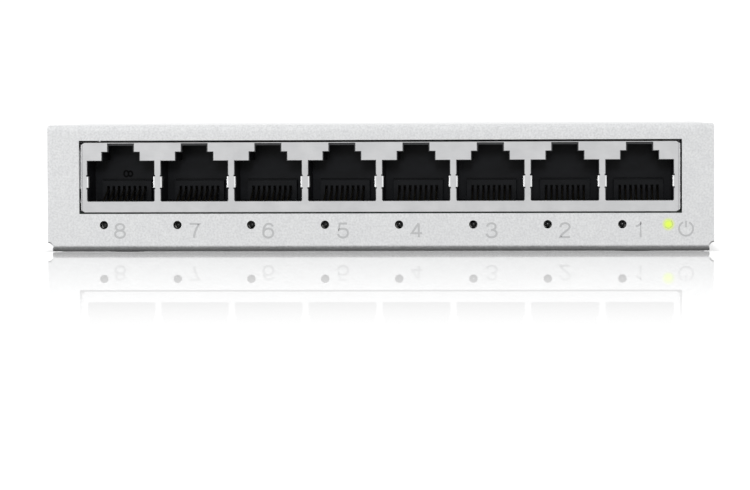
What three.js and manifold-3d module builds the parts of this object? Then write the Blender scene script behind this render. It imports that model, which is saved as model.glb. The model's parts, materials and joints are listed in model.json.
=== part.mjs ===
// A small metal desktop network switch with a row of eight RJ45 ports, built as an assembly of separate pieces.
// Millimetres, +Z up, +Y away from the port side, origin at the centre of the footprint on the table.
import * as THREE from "three";
import { mergeVertices } from "three/addons/utils/BufferGeometryUtils.js";
import Module from "manifold-3d";

const wasm = await Module();
wasm.setup();

// ---------------------------------------------------------------- driving dimensions
const WIDTH = 125.6; // case, outside
const DEPTH = 66;
const CASE_HEIGHT = 23.9;
const FOOT_PROUD = 0.1; // how far the feet lift the case off the table
const SHEET = 0.8; // steel sheet of the case
const BEND = 1.2; // outside radius of a fold
const FIT = 0.15; // gap between case pieces

const BOTTOM = FOOT_PROUD;
const TOP = BOTTOM + CASE_HEIGHT;
const FRONT = -DEPTH / 2;
const BACK = DEPTH / 2;
const SIDE = WIDTH / 2;
const FLANGE_SIDE = SIDE - SHEET - FIT; // outside of the tray's side flanges, inside the cover

const BOARD_TOP = 7.5; // the circuit board's upper face
const BOARD_THICK = 1.6;
const BOARD_BOTTOM = BOARD_TOP - BOARD_THICK;

const PORTS = 8;
const PITCH = 13.97; // of the ports
const portX = (n) => (PORTS / 2 + 0.5 - n) * PITCH; // port 1 is at the right, port 8 at the left

const JACK_FRONT = FRONT + 0.15; // the jack's metal face, just inside the front panel's face
const JACK_WIDTH = 113.05;
const JACK_HEIGHT = 13.15;
const JACK_DEPTH = 16.2;
const SHIELD_SHEET = 0.25;
const WINDOW = { half: 56.8, low: 7.2, high: 21.05 }; // the front panel's cut-out for the jack

const LED_Z = 5.1;
const LED_RADIUS = 0.79; // hole in the panel
const LED_OFFSET = -3.24; // from the middle of its port
const POWER_LED_X = portX(1) + 5.38;

const INLET_X = -44; // DC power inlet, on the back
const INLET = { width: 9, height: 11, depth: 14, axisZ: 6.5, boreRadius: 3.2, boreDepth: 10, pinRadius: 1.0 };

const BOARD_MOUNTS = [
  { name: "front_left", x: -57.5, y: -12 },
  { name: "front_right", x: 57.5, y: -12 },
  { name: "back_left", x: -57, y: 26 },
  { name: "back_right", x: 57, y: 26 },
];
const FEET = [
  { name: "front_left", x: -48, y: -25 },
  { name: "front_right", x: 48, y: -25 },
  { name: "back_left", x: -48, y: 25 },
  { name: "back_right", x: 48, y: 25 },
];
const FOOT = { radius: 4, thick: 0.85, recess: 0.8, recessRadius: 4.4 };
const COVER_SCREW = { y: 22, z: 12 };
const KEYHOLE = { x: 40, y: 3, headRadius: 3.75, slotRadius: 1.9, slotLength: 7.5 };

// ---------------------------------------------------------------- shape helpers
const box = (x0, x1, y0, y1, z0, z1) =>
  new THREE.BoxGeometry(x1 - x0, y1 - y0, z1 - z0).translate((x0 + x1) / 2, (y0 + y1) / 2, (z0 + z1) / 2);

const extrude = (shape, length, curveSegments = 2) =>
  new THREE.ExtrudeGeometry(shape, { depth: length, bevelEnabled: false, curveSegments });

// A prism along X of a shape drawn in (y, z).
const prismX = (shape, x0, x1, curveSegments) =>
  extrude(shape, x1 - x0, curveSegments)
    .applyMatrix4(
      new THREE.Matrix4().makeBasis(
        new THREE.Vector3(0, 1, 0),
        new THREE.Vector3(0, 0, 1),
        new THREE.Vector3(1, 0, 0),
      ),
    )
    .translate(x0, 0, 0);

// A prism along Y of a shape drawn in (x, z).
const prismY = (shape, y0, y1, curveSegments) =>
  extrude(shape, y1 - y0, curveSegments).rotateX(Math.PI / 2).translate(0, y1, 0);

// A prism along Z of a shape drawn in (x, y).
const prismZ = (shape, z0, z1, curveSegments) => extrude(shape, z1 - z0, curveSegments).translate(0, 0, z0);

const cylinderX = (radius, x0, x1, y, z, sides) =>
  new THREE.CylinderGeometry(radius, radius, x1 - x0, sides).rotateZ(Math.PI / 2).translate((x0 + x1) / 2, y, z);
const cylinderY = (radius, x, y0, y1, z, sides) =>
  new THREE.CylinderGeometry(radius, radius, y1 - y0, sides).translate(x, (y0 + y1) / 2, z);
const cylinderZ = (radius, x, y, z0, z1, sides) =>
  new THREE.CylinderGeometry(radius, radius, z1 - z0, sides).rotateX(Math.PI / 2).translate(x, y, (z0 + z1) / 2);

// A turned solid about Z from a profile of [radius, z] pairs that starts and ends on the axis, going upwards.
const turned = (profile, sides) =>
  new THREE.LatheGeometry(profile.map(([r, z]) => new THREE.Vector2(r, z)), sides).rotateX(Math.PI / 2);

const polygon = (points) => new THREE.Shape(points.map(([a, b]) => new THREE.Vector2(a, b)));

function solid(geometry) {
  const bare = geometry.clone();
  bare.deleteAttribute("normal");
  bare.deleteAttribute("uv");
  const merged = mergeVertices(bare, 1e-4);
  const triVerts = new Uint32Array(merged.index.array);
  return new wasm.Manifold(new wasm.Mesh({ numProp: 3, vertProperties: merged.attributes.position.array, triVerts }));
}
const asSolid = (piece) => (piece.isBufferGeometry ? solid(piece) : piece);
const join = (first, ...others) => others.reduce((made, piece) => made.add(asSolid(piece)), asSolid(first));
const cut = (first, ...tools) => tools.reduce((made, tool) => made.subtract(asSolid(tool)), asSolid(first));

function geometryOf(made) {
  const { vertProperties, triVerts } = made.getMesh();
  const geometry = new THREE.BufferGeometry()
    .setAttribute("position", new THREE.BufferAttribute(vertProperties, 3))
    .setIndex(new THREE.BufferAttribute(triVerts, 1))
    .toNonIndexed();
  geometry.computeVertexNormals();
  return geometry;
}

// ---------------------------------------------------------------- finishes
const finish = (color, roughness, metalness) => new THREE.MeshStandardMaterial({ color, roughness, metalness });
const MATERIAL = {
  silverPaint: finish(0xdfe1e0, 0.5, 0.2),
  shieldPlate: finish(0xcdced0, 0.35, 0.9),
  blackPlastic: finish(0x151618, 0.45, 0),
  contactGold: finish(0xb08d4a, 0.3, 1),
  steel: finish(0xb8babd, 0.35, 1),
  brass: finish(0xc2a35e, 0.35, 1),
  rubber: finish(0x1b1b1c, 0.85, 0),
  board: finish(0x1d5a3a, 0.55, 0),
  chip: finish(0x1a1a1c, 0.6, 0),
  aluminium: finish(0x9a9ca0, 0.4, 1),
  thermalPad: finish(0x8fa3b8, 0.8, 0),
  clearLens: finish(0xd9dcd6, 0.2, 0),
  litLens: finish(0xd6f25a, 0.2, 0),
  ferrite: finish(0x3a3b3e, 0.7, 0),
};

const group = new THREE.Group();
function place(name, shape, material, x = 0, y = 0, z = 0, parent = group) {
  const mesh = new THREE.Mesh(shape.isBufferGeometry ? shape : geometryOf(shape), material);
  mesh.name = name;
  mesh.position.set(x, y, z);
  parent.add(mesh);
  return mesh;
}

// ---------------------------------------------------------------- case: base tray
const LIP = 6; // the fold at the top of the front panel, reaching back over the cover's tongues
const FLANGE_TOP = 9;
const NOTCH = { radius: 0.85, rise: 0.8 }; // round-ended corner relief where the folds of the tray meet
const LIP_CORNER = 0.5;

// The tray's side view: front lip, front panel, bottom and back panel in one folded strip.
function trayStrip() {
  const inner = BEND - SHEET;
  const backTop = TOP - SHEET - FIT; // the cover's top passes over the back panel
  const shape = new THREE.Shape();
  shape.moveTo(FRONT + LIP, TOP);
  shape.lineTo(FRONT + BEND, TOP);
  shape.absarc(FRONT + BEND, TOP - BEND, BEND, Math.PI / 2, Math.PI, false);
  shape.lineTo(FRONT, BOTTOM + BEND);
  shape.absarc(FRONT + BEND, BOTTOM + BEND, BEND, Math.PI, 1.5 * Math.PI, false);
  shape.lineTo(BACK - BEND, BOTTOM);
  shape.absarc(BACK - BEND, BOTTOM + BEND, BEND, 1.5 * Math.PI, 2 * Math.PI, false);
  shape.lineTo(BACK, backTop);
  shape.lineTo(BACK - SHEET, backTop);
  shape.lineTo(BACK - SHEET, BOTTOM + BEND);
  shape.absarc(BACK - BEND, BOTTOM + BEND, inner, 2 * Math.PI, 1.5 * Math.PI, true);
  shape.lineTo(FRONT + BEND, BOTTOM + SHEET);
  shape.absarc(FRONT + BEND, BOTTOM + BEND, inner, 1.5 * Math.PI, Math.PI, true);
  shape.lineTo(FRONT + SHEET, TOP - BEND);
  shape.absarc(FRONT + BEND, TOP - BEND, inner, Math.PI, Math.PI / 2, true);
  shape.lineTo(FRONT + LIP, TOP - SHEET);
  return shape;
}

// The fold along one side of the bottom and the flange above it, for the right-hand side.
function sideFlange(top) {
  const shape = new THREE.Shape();
  shape.moveTo(FLANGE_SIDE - BEND, BOTTOM);
  shape.absarc(FLANGE_SIDE - BEND, BOTTOM + BEND, BEND, 1.5 * Math.PI, 2 * Math.PI, false);
  shape.lineTo(FLANGE_SIDE, top);
  shape.lineTo(FLANGE_SIDE - SHEET, top);
  shape.lineTo(FLANGE_SIDE - SHEET, BOTTOM + BEND);
  shape.absarc(FLANGE_SIDE - BEND, BOTTOM + BEND, BEND - SHEET, 2 * Math.PI, 1.5 * Math.PI, true);
  return shape;
}

function keyhole(x) {
  const { y, headRadius, slotRadius, slotLength } = KEYHOLE;
  const low = BOTTOM - 1;
  const high = BOTTOM + SHEET + 1;
  return join(
    cylinderZ(headRadius, x, y, low, high, 18),
    box(x - slotRadius, x + slotRadius, y - slotLength, y, low, high),
    cylinderZ(slotRadius, x, y - slotLength, low, high, 12),
  );
}

function baseTray() {
  const earTop = COVER_SCREW.z + 3.6;
  const earHalf = 4.5;
  const flangeEnd = DEPTH / 2 - BEND - 0.9; // the flanges stop short of the panels' folds
  let tray = solid(prismX(trayStrip(), -SIDE, SIDE));
  const ledXs = Array.from({ length: PORTS }, (_, i) => portX(i + 1) + LED_OFFSET).concat(POWER_LED_X);

  // Cut-outs of the front panel: the jack's window and the indicator holes.
  tray = cut(tray, box(-WINDOW.half, WINDOW.half, FRONT - 1, FRONT + SHEET + 1, WINDOW.low, WINDOW.high));
  for (const x of ledXs) tray = cut(tray, cylinderY(LED_RADIUS, x, FRONT - 1, FRONT + SHEET + 1, LED_Z, 12));

  // Cut-outs of the back panel: the power inlet and the lock slot.
  const inletLow = BOARD_TOP - 0.15;
  tray = cut(
    tray,
    box(
      INLET_X - INLET.width / 2 - 0.2,
      INLET_X + INLET.width / 2 + 0.2,
      BACK - SHEET - 1,
      BACK + 1,
      inletLow,
      inletLow + INLET.height + 0.4,
    ),
    box(36.5, 43.5, BACK - SHEET - 1, BACK + 1, 11, 14),
  );
  // The back panel is as wide as the space inside the cover.
  for (const side of [-1, 1]) {
    const [x0, x1] = [side * FLANGE_SIDE, side * (SIDE + 1)].sort((a, b) => a - b);
    tray = cut(tray, box(x0, x1, FRONT + BEND, BACK + 1, BOTTOM - 1, TOP - SHEET - FIT / 2));
    // Relief notches at the front panel's lower corners, and small radii at its upper ones.
    const notch = [side * (SIDE - NOTCH.radius), side * (SIDE + 1)].sort((a, b) => a - b);
    tray = cut(
      tray,
      box(...notch, FRONT - 1, FRONT + BEND + 1, BOTTOM - 1, BOTTOM + NOTCH.rise),
      cylinderY(NOTCH.radius, side * SIDE, FRONT - 1, FRONT + BEND + 1, BOTTOM + NOTCH.rise, 16),
    );
    const square = box(
      Math.min(side * SIDE, side * (SIDE - LIP_CORNER)),
      Math.max(side * SIDE, side * (SIDE - LIP_CORNER)),
      FRONT - 1,
      FRONT + LIP + 1,
      TOP - LIP_CORNER,
      TOP + 0.1,
    );
    const round = cylinderY(LIP_CORNER, side * (SIDE - LIP_CORNER), FRONT - 2, FRONT + LIP + 2, TOP - LIP_CORNER, 12);
    tray = cut(tray, cut(square, round));
    // Fold and flange along the side, with an ear for the cover's screw.
    const strip = [side * (FLANGE_SIDE - BEND), side * (SIDE + 1)].sort((a, b) => a - b);
    tray = cut(tray, box(...strip, -flangeEnd, flangeEnd, BOTTOM - 1, BOTTOM + BEND));
    const mirror = new THREE.Matrix4().makeRotationZ(side > 0 ? 0 : Math.PI);
    const flange = prismY(sideFlange(FLANGE_TOP), -flangeEnd, flangeEnd).applyMatrix4(mirror);
    const ear = prismY(sideFlange(earTop), COVER_SCREW.y * side - earHalf, COVER_SCREW.y * side + earHalf);
    tray = join(tray, flange, ear.applyMatrix4(mirror));
    tray = cut(
      tray,
      cylinderX(1.5, ...[side * (SIDE - 4), side * (SIDE + 1)].sort((a, b) => a - b), COVER_SCREW.y, COVER_SCREW.z, 12),
    );
    tray = cut(tray, keyhole(side * KEYHOLE.x));
  }
  // Pressed recesses for the feet.
  for (const { x, y } of FEET) {
    const ceiling = BOTTOM + FOOT.recess;
    tray = join(tray, cylinderZ(FOOT.recessRadius + SHEET, x, y, BOTTOM, ceiling + SHEET, 16));
    tray = cut(tray, cylinderZ(FOOT.recessRadius, x, y, BOTTOM - 1, ceiling, 16));
  }
  return tray;
}

// ---------------------------------------------------------------- case: cover
const COVER_LOW = BOTTOM + NOTCH.rise + NOTCH.radius + 0.1; // the cover's sides stop above the notches
const VENT = { count: 9, pitch: 4, firstY: -20, low: 11, high: 19.5, radius: 0.9 };

function coverSection() {
  const inner = BEND - SHEET;
  const shape = new THREE.Shape();
  shape.moveTo(SIDE, COVER_LOW);
  shape.lineTo(SIDE, TOP - BEND);
  shape.absarc(SIDE - BEND, TOP - BEND, BEND, 0, Math.PI / 2, false);
  shape.lineTo(-SIDE + BEND, TOP);
  shape.absarc(-SIDE + BEND, TOP - BEND, BEND, Math.PI / 2, Math.PI, false);
  shape.lineTo(-SIDE, COVER_LOW);
  shape.lineTo(-SIDE + SHEET, COVER_LOW);
  shape.lineTo(-SIDE + SHEET, TOP - BEND);
  shape.absarc(-SIDE + BEND, TOP - BEND, inner, Math.PI, Math.PI / 2, true);
  shape.lineTo(SIDE - BEND, TOP - SHEET);
  shape.absarc(SIDE - BEND, TOP - BEND, inner, Math.PI / 2, 0, true);
  shape.lineTo(SIDE - SHEET, COVER_LOW);
  return shape;
}

function ventSlot(y) {
  const shape = new THREE.Shape();
  shape.moveTo(y + VENT.radius, VENT.low + VENT.radius);
  shape.lineTo(y + VENT.radius, VENT.high - VENT.radius);
  shape.absarc(y, VENT.high - VENT.radius, VENT.radius, 0, Math.PI, false);
  shape.lineTo(y - VENT.radius, VENT.low + VENT.radius);
  shape.absarc(y, VENT.low + VENT.radius, VENT.radius, Math.PI, 2 * Math.PI, false);
  return prismX(shape, -SIDE - 1, SIDE + 1);
}

function topCover() {
  const frontEdge = FRONT + LIP + FIT; // the top butts against the tray's lip
  const sideFront = FRONT + SHEET + FIT;
  let cover = solid(prismY(coverSection(), sideFront, BACK));
  cover = cut(cover, box(-SIDE - 1, SIDE + 1, sideFront - 1, frontEdge, TOP - SHEET - FIT, TOP + 1));
  // Two tongues joggled down by a sheet's thickness, which slide under the lip.
  for (const x of [-36, 36]) {
    const under = TOP - 2 * SHEET - FIT;
    cover = join(
      cover,
      box(x - 8, x + 8, frontEdge - 4, frontEdge + 2, under, under + SHEET),
      box(x - 8, x + 8, frontEdge + 1, frontEdge + 2, under, TOP - SHEET / 2),
    );
  }
  for (let i = 0; i < VENT.count; i++) cover = cut(cover, ventSlot(VENT.firstY + i * VENT.pitch));
  // Countersunk holes for the two cover screws.
  for (const side of [-1, 1]) {
    const cone = new THREE.CylinderGeometry(2.95, 1.9, SHEET + 0.2, 16).rotateZ((-side * Math.PI) / 2);
    cover = cut(cover, cone.translate(side * (SIDE - SHEET / 2), COVER_SCREW.y, COVER_SCREW.z));
  }
  return cover;
}

// ---------------------------------------------------------------- fasteners and feet
// A cross recess, cut down from z = top.
const crossRecess = (top, reach, width, deep) =>
  join(
    box(-reach, reach, -width, width, top - deep, top + 1),
    box(-width, width, -reach, reach, top - deep, top + 1),
  );

// Pan-head screw, standing head up with its seat at z = 0.
const panScrew = () =>
  cut(
    turned([[0, -5.4], [1.0, -5.4], [1.2, -5.1], [1.2, 0], [2.7, 0], [2.7, 1.2], [2.1, 1.8], [0, 1.8]], 12),
    crossRecess(1.8, 1.4, 0.3, 1.1),
  );

// Thin flat-head screw, with its face at z = 0.
const flatScrew = () =>
  cut(
    turned([[0, -5], [1.3, -5], [1.3, -0.9], [2.5, -0.15], [2.5, 0], [0, 0]], 16),
    crossRecess(0, 1.5, 0.3, 0.6),
  );

const standoff = (height) =>
  cut(
    new THREE.CylinderGeometry(2.8, 2.8, height, 6).rotateX(Math.PI / 2).translate(0, 0, height / 2),
    cylinderZ(1.35, 0, 0, -1, height + 1, 12),
  );

const rubberFoot = () =>
  turned([[0, 0], [3.7, 0], [FOOT.radius, 0.3], [FOOT.radius, FOOT.thick], [0, FOOT.thick]], 16);

place("base_tray", baseTray(), MATERIAL.silverPaint);
place("top_cover", topCover(), MATERIAL.silverPaint);
for (const [name, side] of [["left", -1], ["right", 1]]) {
  const screw = place(`cover_screw_${name}`, flatScrew(), MATERIAL.steel, side * SIDE, COVER_SCREW.y, COVER_SCREW.z);
  screw.rotation.y = (side * Math.PI) / 2;
}
for (const { name, x, y } of FEET) place(`rubber_foot_${name}`, rubberFoot(), MATERIAL.rubber, x, y, 0);
const floorInside = BOTTOM + SHEET;
for (const { name, x, y } of BOARD_MOUNTS) {
  place(`standoff_${name}`, standoff(BOARD_BOTTOM - floorInside - 0.1), MATERIAL.brass, x, y, floorInside + 0.05);
  place(`board_screw_${name}`, panScrew(), MATERIAL.steel, x, y, BOARD_TOP + 0.05);
}

// ---------------------------------------------------------------- circuit board
const PEG = { x: 48.9, y: 8.5, radius: 1.55 }; // the jack's locating pegs, in the jack's own frame

function circuitBoard() {
  const sides = [-60.3, 60.3];
  let board = solid(box(...sides, FRONT + 1.7, BACK - 2.4, 0, BOARD_THICK));
  for (const { x, y } of BOARD_MOUNTS) board = cut(board, cylinderZ(1.6, x, y, -1, BOARD_THICK + 1, 12));
  for (const x of [-PEG.x, PEG.x])
    board = cut(board, cylinderZ(PEG.radius + 0.1, x, JACK_FRONT + PEG.y, -1, BOARD_THICK + 1, 12));
  return board;
}
place("circuit_board", circuitBoard(), MATERIAL.board, 0, 0, BOARD_BOTTOM);

// ---------------------------------------------------------------- eight-port jack
// The jack's own frame: y = 0 on its metal face, z = 0 on the board, x = 0 in the middle of the row.
const jack = new THREE.Group();
jack.position.set(0, JACK_FRONT, BOARD_TOP);
group.add(jack);

const OPENING = { half: 6.43, stepHalf: 3.66, tabHalf: 2.55, low: 2.02, high: 9.78, step: 11.46, tab: 13.03 };
const CAVITY = { half: 6.3, stepHalf: 3.5, tabHalf: 2.33, low: 2.1, high: 9.68, step: 11.34, tab: 12.62 };
const LATCH_LIP = 2.6; // depth of the front lip that the plug's latch hooks behind
const COMB = { front: 9.0, back: 11.0, half: 4.7, top: 5.8, slotTop: 4.8, slotHalf: 0.31, slotBack: 10.8 };
const FINGER = { inner: 6.1, low: 4.64, high: 6.78, depth: 2.4 };
const CONTACTS = 8;
const CONTACT_PITCH = 1.016;
const contactX = (i) => (i - (CONTACTS - 1) / 2) * CONTACT_PITCH;
const PIVOT = { y: 1.4, z: 1.45 }; // where the spring contacts turn back over the front lip
const TROUGH = { front: 0.7, back: 5.4, half: 4.4, low: 0.75 };
const CARRIER = { front: 13.0, back: 15.7, half: 4.6, low: 0.5, high: 5.5 };
const STRIP = { half: 4.1, low: 0.4, high: 0.7, front: 1.5 }; // the fixed run of the leads, in the housing's floor

// The stepped outline of a port, latch upwards, with its lower corners clipped.
function portOutline({ half, stepHalf, tabHalf, low, high, step, tab }, corner) {
  const shape = new THREE.Shape();
  shape.moveTo(-half, low + corner);
  shape.lineTo(-half + corner, low);
  shape.lineTo(half - corner, low);
  shape.lineTo(half, low + corner);
  shape.lineTo(half, high);
  shape.lineTo(stepHalf, high);
  shape.lineTo(stepHalf, step);
  shape.lineTo(tabHalf, step);
  shape.lineTo(tabHalf, tab);
  shape.lineTo(-tabHalf, tab);
  shape.lineTo(-tabHalf, step);
  shape.lineTo(-stepHalf, step);
  shape.lineTo(-stepHalf, high);
  shape.lineTo(-half, high);
  return shape;
}

// Everything that is hollow in the housing for one port, around x = 0.
function portHollow() {
  const inside = polygon([
    [-CAVITY.half, CAVITY.low],
    [CAVITY.half, CAVITY.low],
    [CAVITY.half, CAVITY.high],
    [CAVITY.stepHalf, CAVITY.high],
    [CAVITY.stepHalf, CAVITY.tab],
    [-CAVITY.stepHalf, CAVITY.tab],
    [-CAVITY.stepHalf, CAVITY.high],
    [-CAVITY.half, CAVITY.high],
  ]);
  let hollow = join(
    prismY(portOutline(CAVITY, 0), -1, LATCH_LIP + 0.1),
    prismY(inside, LATCH_LIP, COMB.back),
    box(-TROUGH.half, TROUGH.half, TROUGH.front, TROUGH.back, TROUGH.low, CAVITY.low + 0.1),
    box(-STRIP.half - 0.15, STRIP.half + 0.15, STRIP.front - 0.3, JACK_DEPTH, STRIP.low - 0.15, TROUGH.low + 0.01),
    box(
      -CARRIER.half - 0.15,
      CARRIER.half + 0.15,
      CARRIER.front - 0.2,
      JACK_DEPTH,
      -1,
      CARRIER.high + 0.15,
    ),
  );
  for (const side of [-1, 1]) {
    const recess = [side * (CAVITY.half - 0.5), side * (OPENING.half + 0.1)].sort((a, b) => a - b);
    hollow = join(hollow, box(...recess, -1, FINGER.depth + 0.2, FINGER.low - 0.15, FINGER.high + 0.15));
  }
  // The comb that guides the contact tips stands in the hollow's lower back.
  let comb = solid(box(-COMB.half, COMB.half, COMB.front, COMB.back + 0.1, CAVITY.low - 0.1, COMB.top));
  for (let i = 0; i < CONTACTS; i++) {
    const x = contactX(i);
    comb = cut(
      comb,
      box(x - COMB.slotHalf, x + COMB.slotHalf, COMB.front - 1, COMB.slotBack, CAVITY.low - 1, COMB.slotTop),
    );
  }
  return cut(hollow, comb);
}

function jackHousing() {
  const half = JACK_WIDTH / 2 - SHIELD_SHEET - 0.1;
  let housing = solid(
    box(-half, half, SHIELD_SHEET + 0.05, JACK_DEPTH - SHIELD_SHEET - 0.1, 0.05, JACK_HEIGHT - SHIELD_SHEET - 0.05),
  );
  const hollow = portHollow();
  for (let n = 1; n <= PORTS; n++) housing = cut(housing, hollow.translate([portX(n), 0, 0]));
  for (const x of [-PEG.x, PEG.x]) housing = join(housing, cylinderZ(PEG.radius, x, PEG.y, -2.6, 0.1, 12));
  return housing;
}

// The plated shell round the housing: face, top, sides and back in one folded sheet, open below.
function jackShield() {
  const half = JACK_WIDTH / 2;
  const fold = 0.3;
  const plan = (inset) => {
    const r = fold - inset;
    const x = half - inset;
    const shape = new THREE.Shape();
    shape.moveTo(-x, JACK_DEPTH - inset);
    shape.lineTo(-x, inset + r);
    shape.absarc(-x + r, inset + r, r, Math.PI, 1.5 * Math.PI, false);
    shape.absarc(x - r, inset + r, r, 1.5 * Math.PI, 2 * Math.PI, false);
    shape.lineTo(x, JACK_DEPTH - inset);
    return shape;
  };
  let shield = cut(
    prismZ(plan(0), 0.02, JACK_HEIGHT),
    prismZ(plan(SHIELD_SHEET), -1, JACK_HEIGHT - SHIELD_SHEET),
  );
  const opening = solid(prismY(portOutline(OPENING, 0.2), -1, 0.6));
  for (let n = 1; n <= PORTS; n++) {
    shield = cut(shield, opening.translate([portX(n), 0, 0]));
    for (const side of [-1, 1]) {
      // A grounding finger folded into the port, with a relief cut above and below it.
      const edge = portX(n) + side * OPENING.half;
      const reach = [edge - side * 0.1, edge + side * 0.12].sort((a, b) => a - b);
      const finger = [portX(n) + side * FINGER.inner, edge + side * 0.02].sort((a, b) => a - b);
      shield = cut(
        shield,
        box(...reach, -1, 0.6, FINGER.high, FINGER.high + 0.3),
        box(...reach, -1, 0.6, FINGER.low - 0.3, FINGER.low),
      );
      shield = join(shield, box(...finger, 0.05, FINGER.depth, FINGER.low, FINGER.high));
    }
  }
  // The face's corners are clipped where the folds meet.
  const clip = 0.7;
  for (const side of [-1, 1])
    for (const z of [0, JACK_HEIGHT]) {
      const corner = new THREE.CylinderGeometry(clip * Math.SQRT2, clip * Math.SQRT2, 2, 4);
      shield = cut(shield, corner.rotateY(Math.PI / 2).translate(side * half, 0, z));
    }
  return shield;
}

// The eight spring contacts of a port, each turned back over a moulded rod, seen from the pivot at the origin.
function contactSprings() {
  const bend = 0.45; // radius of the wire's centre line
  const thick = 0.3;
  const wide = 0.36;
  const slope = (17 * Math.PI) / 180;
  const length = 8.7;
  const away = (radius, along) => [
    -radius * Math.sin(slope) + along * Math.cos(slope),
    radius * Math.cos(slope) + along * Math.sin(slope),
  ];
  const outer = bend + thick / 2;
  const inner = bend - thick / 2;
  const shape = new THREE.Shape();
  shape.moveTo(...away(outer, length - 0.15));
  shape.absarc(0, 0, outer, slope + Math.PI / 2, 1.5 * Math.PI, false);
  shape.lineTo(0, -inner);
  shape.lineTo(-inner, 0);
  shape.lineTo(...away(inner, 0));
  shape.lineTo(...away(inner, length - 0.15));
  shape.lineTo(...away(bend, length));
  let springs = solid(box(contactX(0), contactX(CONTACTS - 1), -outer + 0.1, -0.1, -0.1, 0.1));
  for (let i = 0; i < CONTACTS; i++)
    springs = join(springs, prismX(shape, contactX(i) - wide / 2, contactX(i) + wide / 2));
  return springs;
}

// The moulded carrier at the back of a port, with the leads' fixed run and their solder pins.
function contactCarrier() {
  let carrier = join(
    box(-CARRIER.half, CARRIER.half, CARRIER.front, CARRIER.back, CARRIER.low, CARRIER.high),
    box(-STRIP.half, STRIP.half, STRIP.front, CARRIER.front + 0.5, STRIP.low, STRIP.high),
  );
  for (let i = 0; i < CONTACTS; i++) {
    const x = contactX(i);
    const y = i % 2 ? CARRIER.front + 0.7 : CARRIER.back - 0.7;
    carrier = join(carrier, box(x - 0.2, x + 0.2, y - 0.2, y + 0.2, 0.08, CARRIER.low + 0.2));
  }
  return carrier;
}

place("jack_housing", jackHousing(), MATERIAL.blackPlastic, 0, 0, 0, jack);
place("jack_shield", jackShield(), MATERIAL.shieldPlate, 0, 0, 0, jack);
const springSet = contactSprings();
const carrierSet = contactCarrier();
for (let n = 1; n <= PORTS; n++) {
  place(`port_${n}_contact_springs`, springSet, MATERIAL.contactGold, portX(n), PIVOT.y, PIVOT.z, jack);
  place(`port_${n}_contact_carrier`, carrierSet, MATERIAL.blackPlastic, portX(n), 0, 0, jack);
}

// ---------------------------------------------------------------- indicators
// A side-firing LED under the board's front edge, with its lens on the axis of the panel's hole.
function indicator(lensRadius, reach) {
  const profile = [[0, -0.2], [lensRadius, -0.2], [lensRadius, reach - 0.5], [lensRadius - 0.15, reach - 0.15], [0, reach]];
  const dome = turned(profile, 10);
  return join(box(-1.4, 1.4, 0, 1.6, -0.7, BOARD_BOTTOM - LED_Z - 0.05), dome.rotateX(Math.PI / 2));
}
const LED_FRONT = FRONT + 3.1;
const indicatorShape = indicator(0.55, 1.25);
for (let n = 1; n <= PORTS; n++)
  place(`led_port_${n}`, indicatorShape, MATERIAL.clearLens, portX(n) + LED_OFFSET, LED_FRONT, LED_Z);
// The power indicator's lens is longer and reaches into the panel's hole.
place("led_power", indicator(0.72, 2.9), MATERIAL.litLens, POWER_LED_X, LED_FRONT, LED_Z);

// A black bar behind the panel with a bore for each LED, which keeps their light apart.
function lightGuard() {
  const [front, back] = [FRONT + SHEET + 0.2, LED_FRONT - 0.15];
  let guard = solid(box(portX(8) - 6, POWER_LED_X + 2.5, front, back, 4.0, BOARD_BOTTOM - 0.1));
  for (let n = 0; n <= PORTS; n++) {
    const x = n ? portX(n) + LED_OFFSET : POWER_LED_X;
    guard = cut(guard, cylinderY(0.85, x, FRONT, LED_FRONT + 1, LED_Z, 10));
  }
  return guard;
}
place("led_light_guard", lightGuard(), MATERIAL.blackPlastic);

// ---------------------------------------------------------------- power inlet
const inlet = new THREE.Group();
inlet.position.set(INLET_X, BACK - 0.15, BOARD_TOP);
group.add(inlet);

const INLET_SLOT = { half: 1.7, front: -9.6, back: -1.2 };

function inletBody() {
  const half = INLET.width / 2;
  return cut(
    box(-half, half, -INLET.depth, 0, 0.05, INLET.height),
    cylinderY(INLET.boreRadius, 0, -INLET.boreDepth, 1, INLET.axisZ, 20),
    box(-INLET_SLOT.half, INLET_SLOT.half, INLET_SLOT.front, INLET_SLOT.back, 1.6, INLET.axisZ - 2),
    cylinderY(INLET.pinRadius + 0.05, 0, -INLET.depth + 1, -INLET.boreDepth + 1, INLET.axisZ, 12),
  );
}

const inletPin = () =>
  turned([[0, 0], [INLET.pinRadius, 0], [INLET.pinRadius, 11.4], [0.6, 12.1], [0, 12.2]], 10)
    .rotateX(-Math.PI / 2)
    .translate(0, -INLET.depth + 1.1, INLET.axisZ);

// The leaf that presses on the plug's barrel from below, seen from its fixed end at the origin.
const inletSpring = () =>
  prismX(
    polygon([[0, -0.15], [5.9, 0.62], [7.3, 0.0], [7.4, 0.27], [5.95, 0.95], [0, 0.15]]),
    -1.4,
    1.4,
  );

place("dc_inlet_body", inletBody(), MATERIAL.blackPlastic, 0, 0, 0, inlet);
place("dc_inlet_pin", inletPin(), MATERIAL.steel, 0, 0, 0, inlet);
const SPRING_ROOT = { y: -9.3, z: 2.9 };
place("dc_inlet_spring", inletSpring(), MATERIAL.steel, 0, SPRING_ROOT.y, SPRING_ROOT.z, inlet);

// ---------------------------------------------------------------- parts on the board
const ON_BOARD = BOARD_TOP + 0.05;
const chip = (width, depth, height) => box(-width / 2, width / 2, -depth / 2, depth / 2, 0, height);

[41.91, 13.97, -13.97, -41.91].forEach((x, i) =>
  place(`magnetics_ports_${2 * i + 1}_${2 * i + 2}`, chip(25, 12.4, 5.8), MATERIAL.chip, x, -8.5, ON_BOARD),
);

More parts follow.
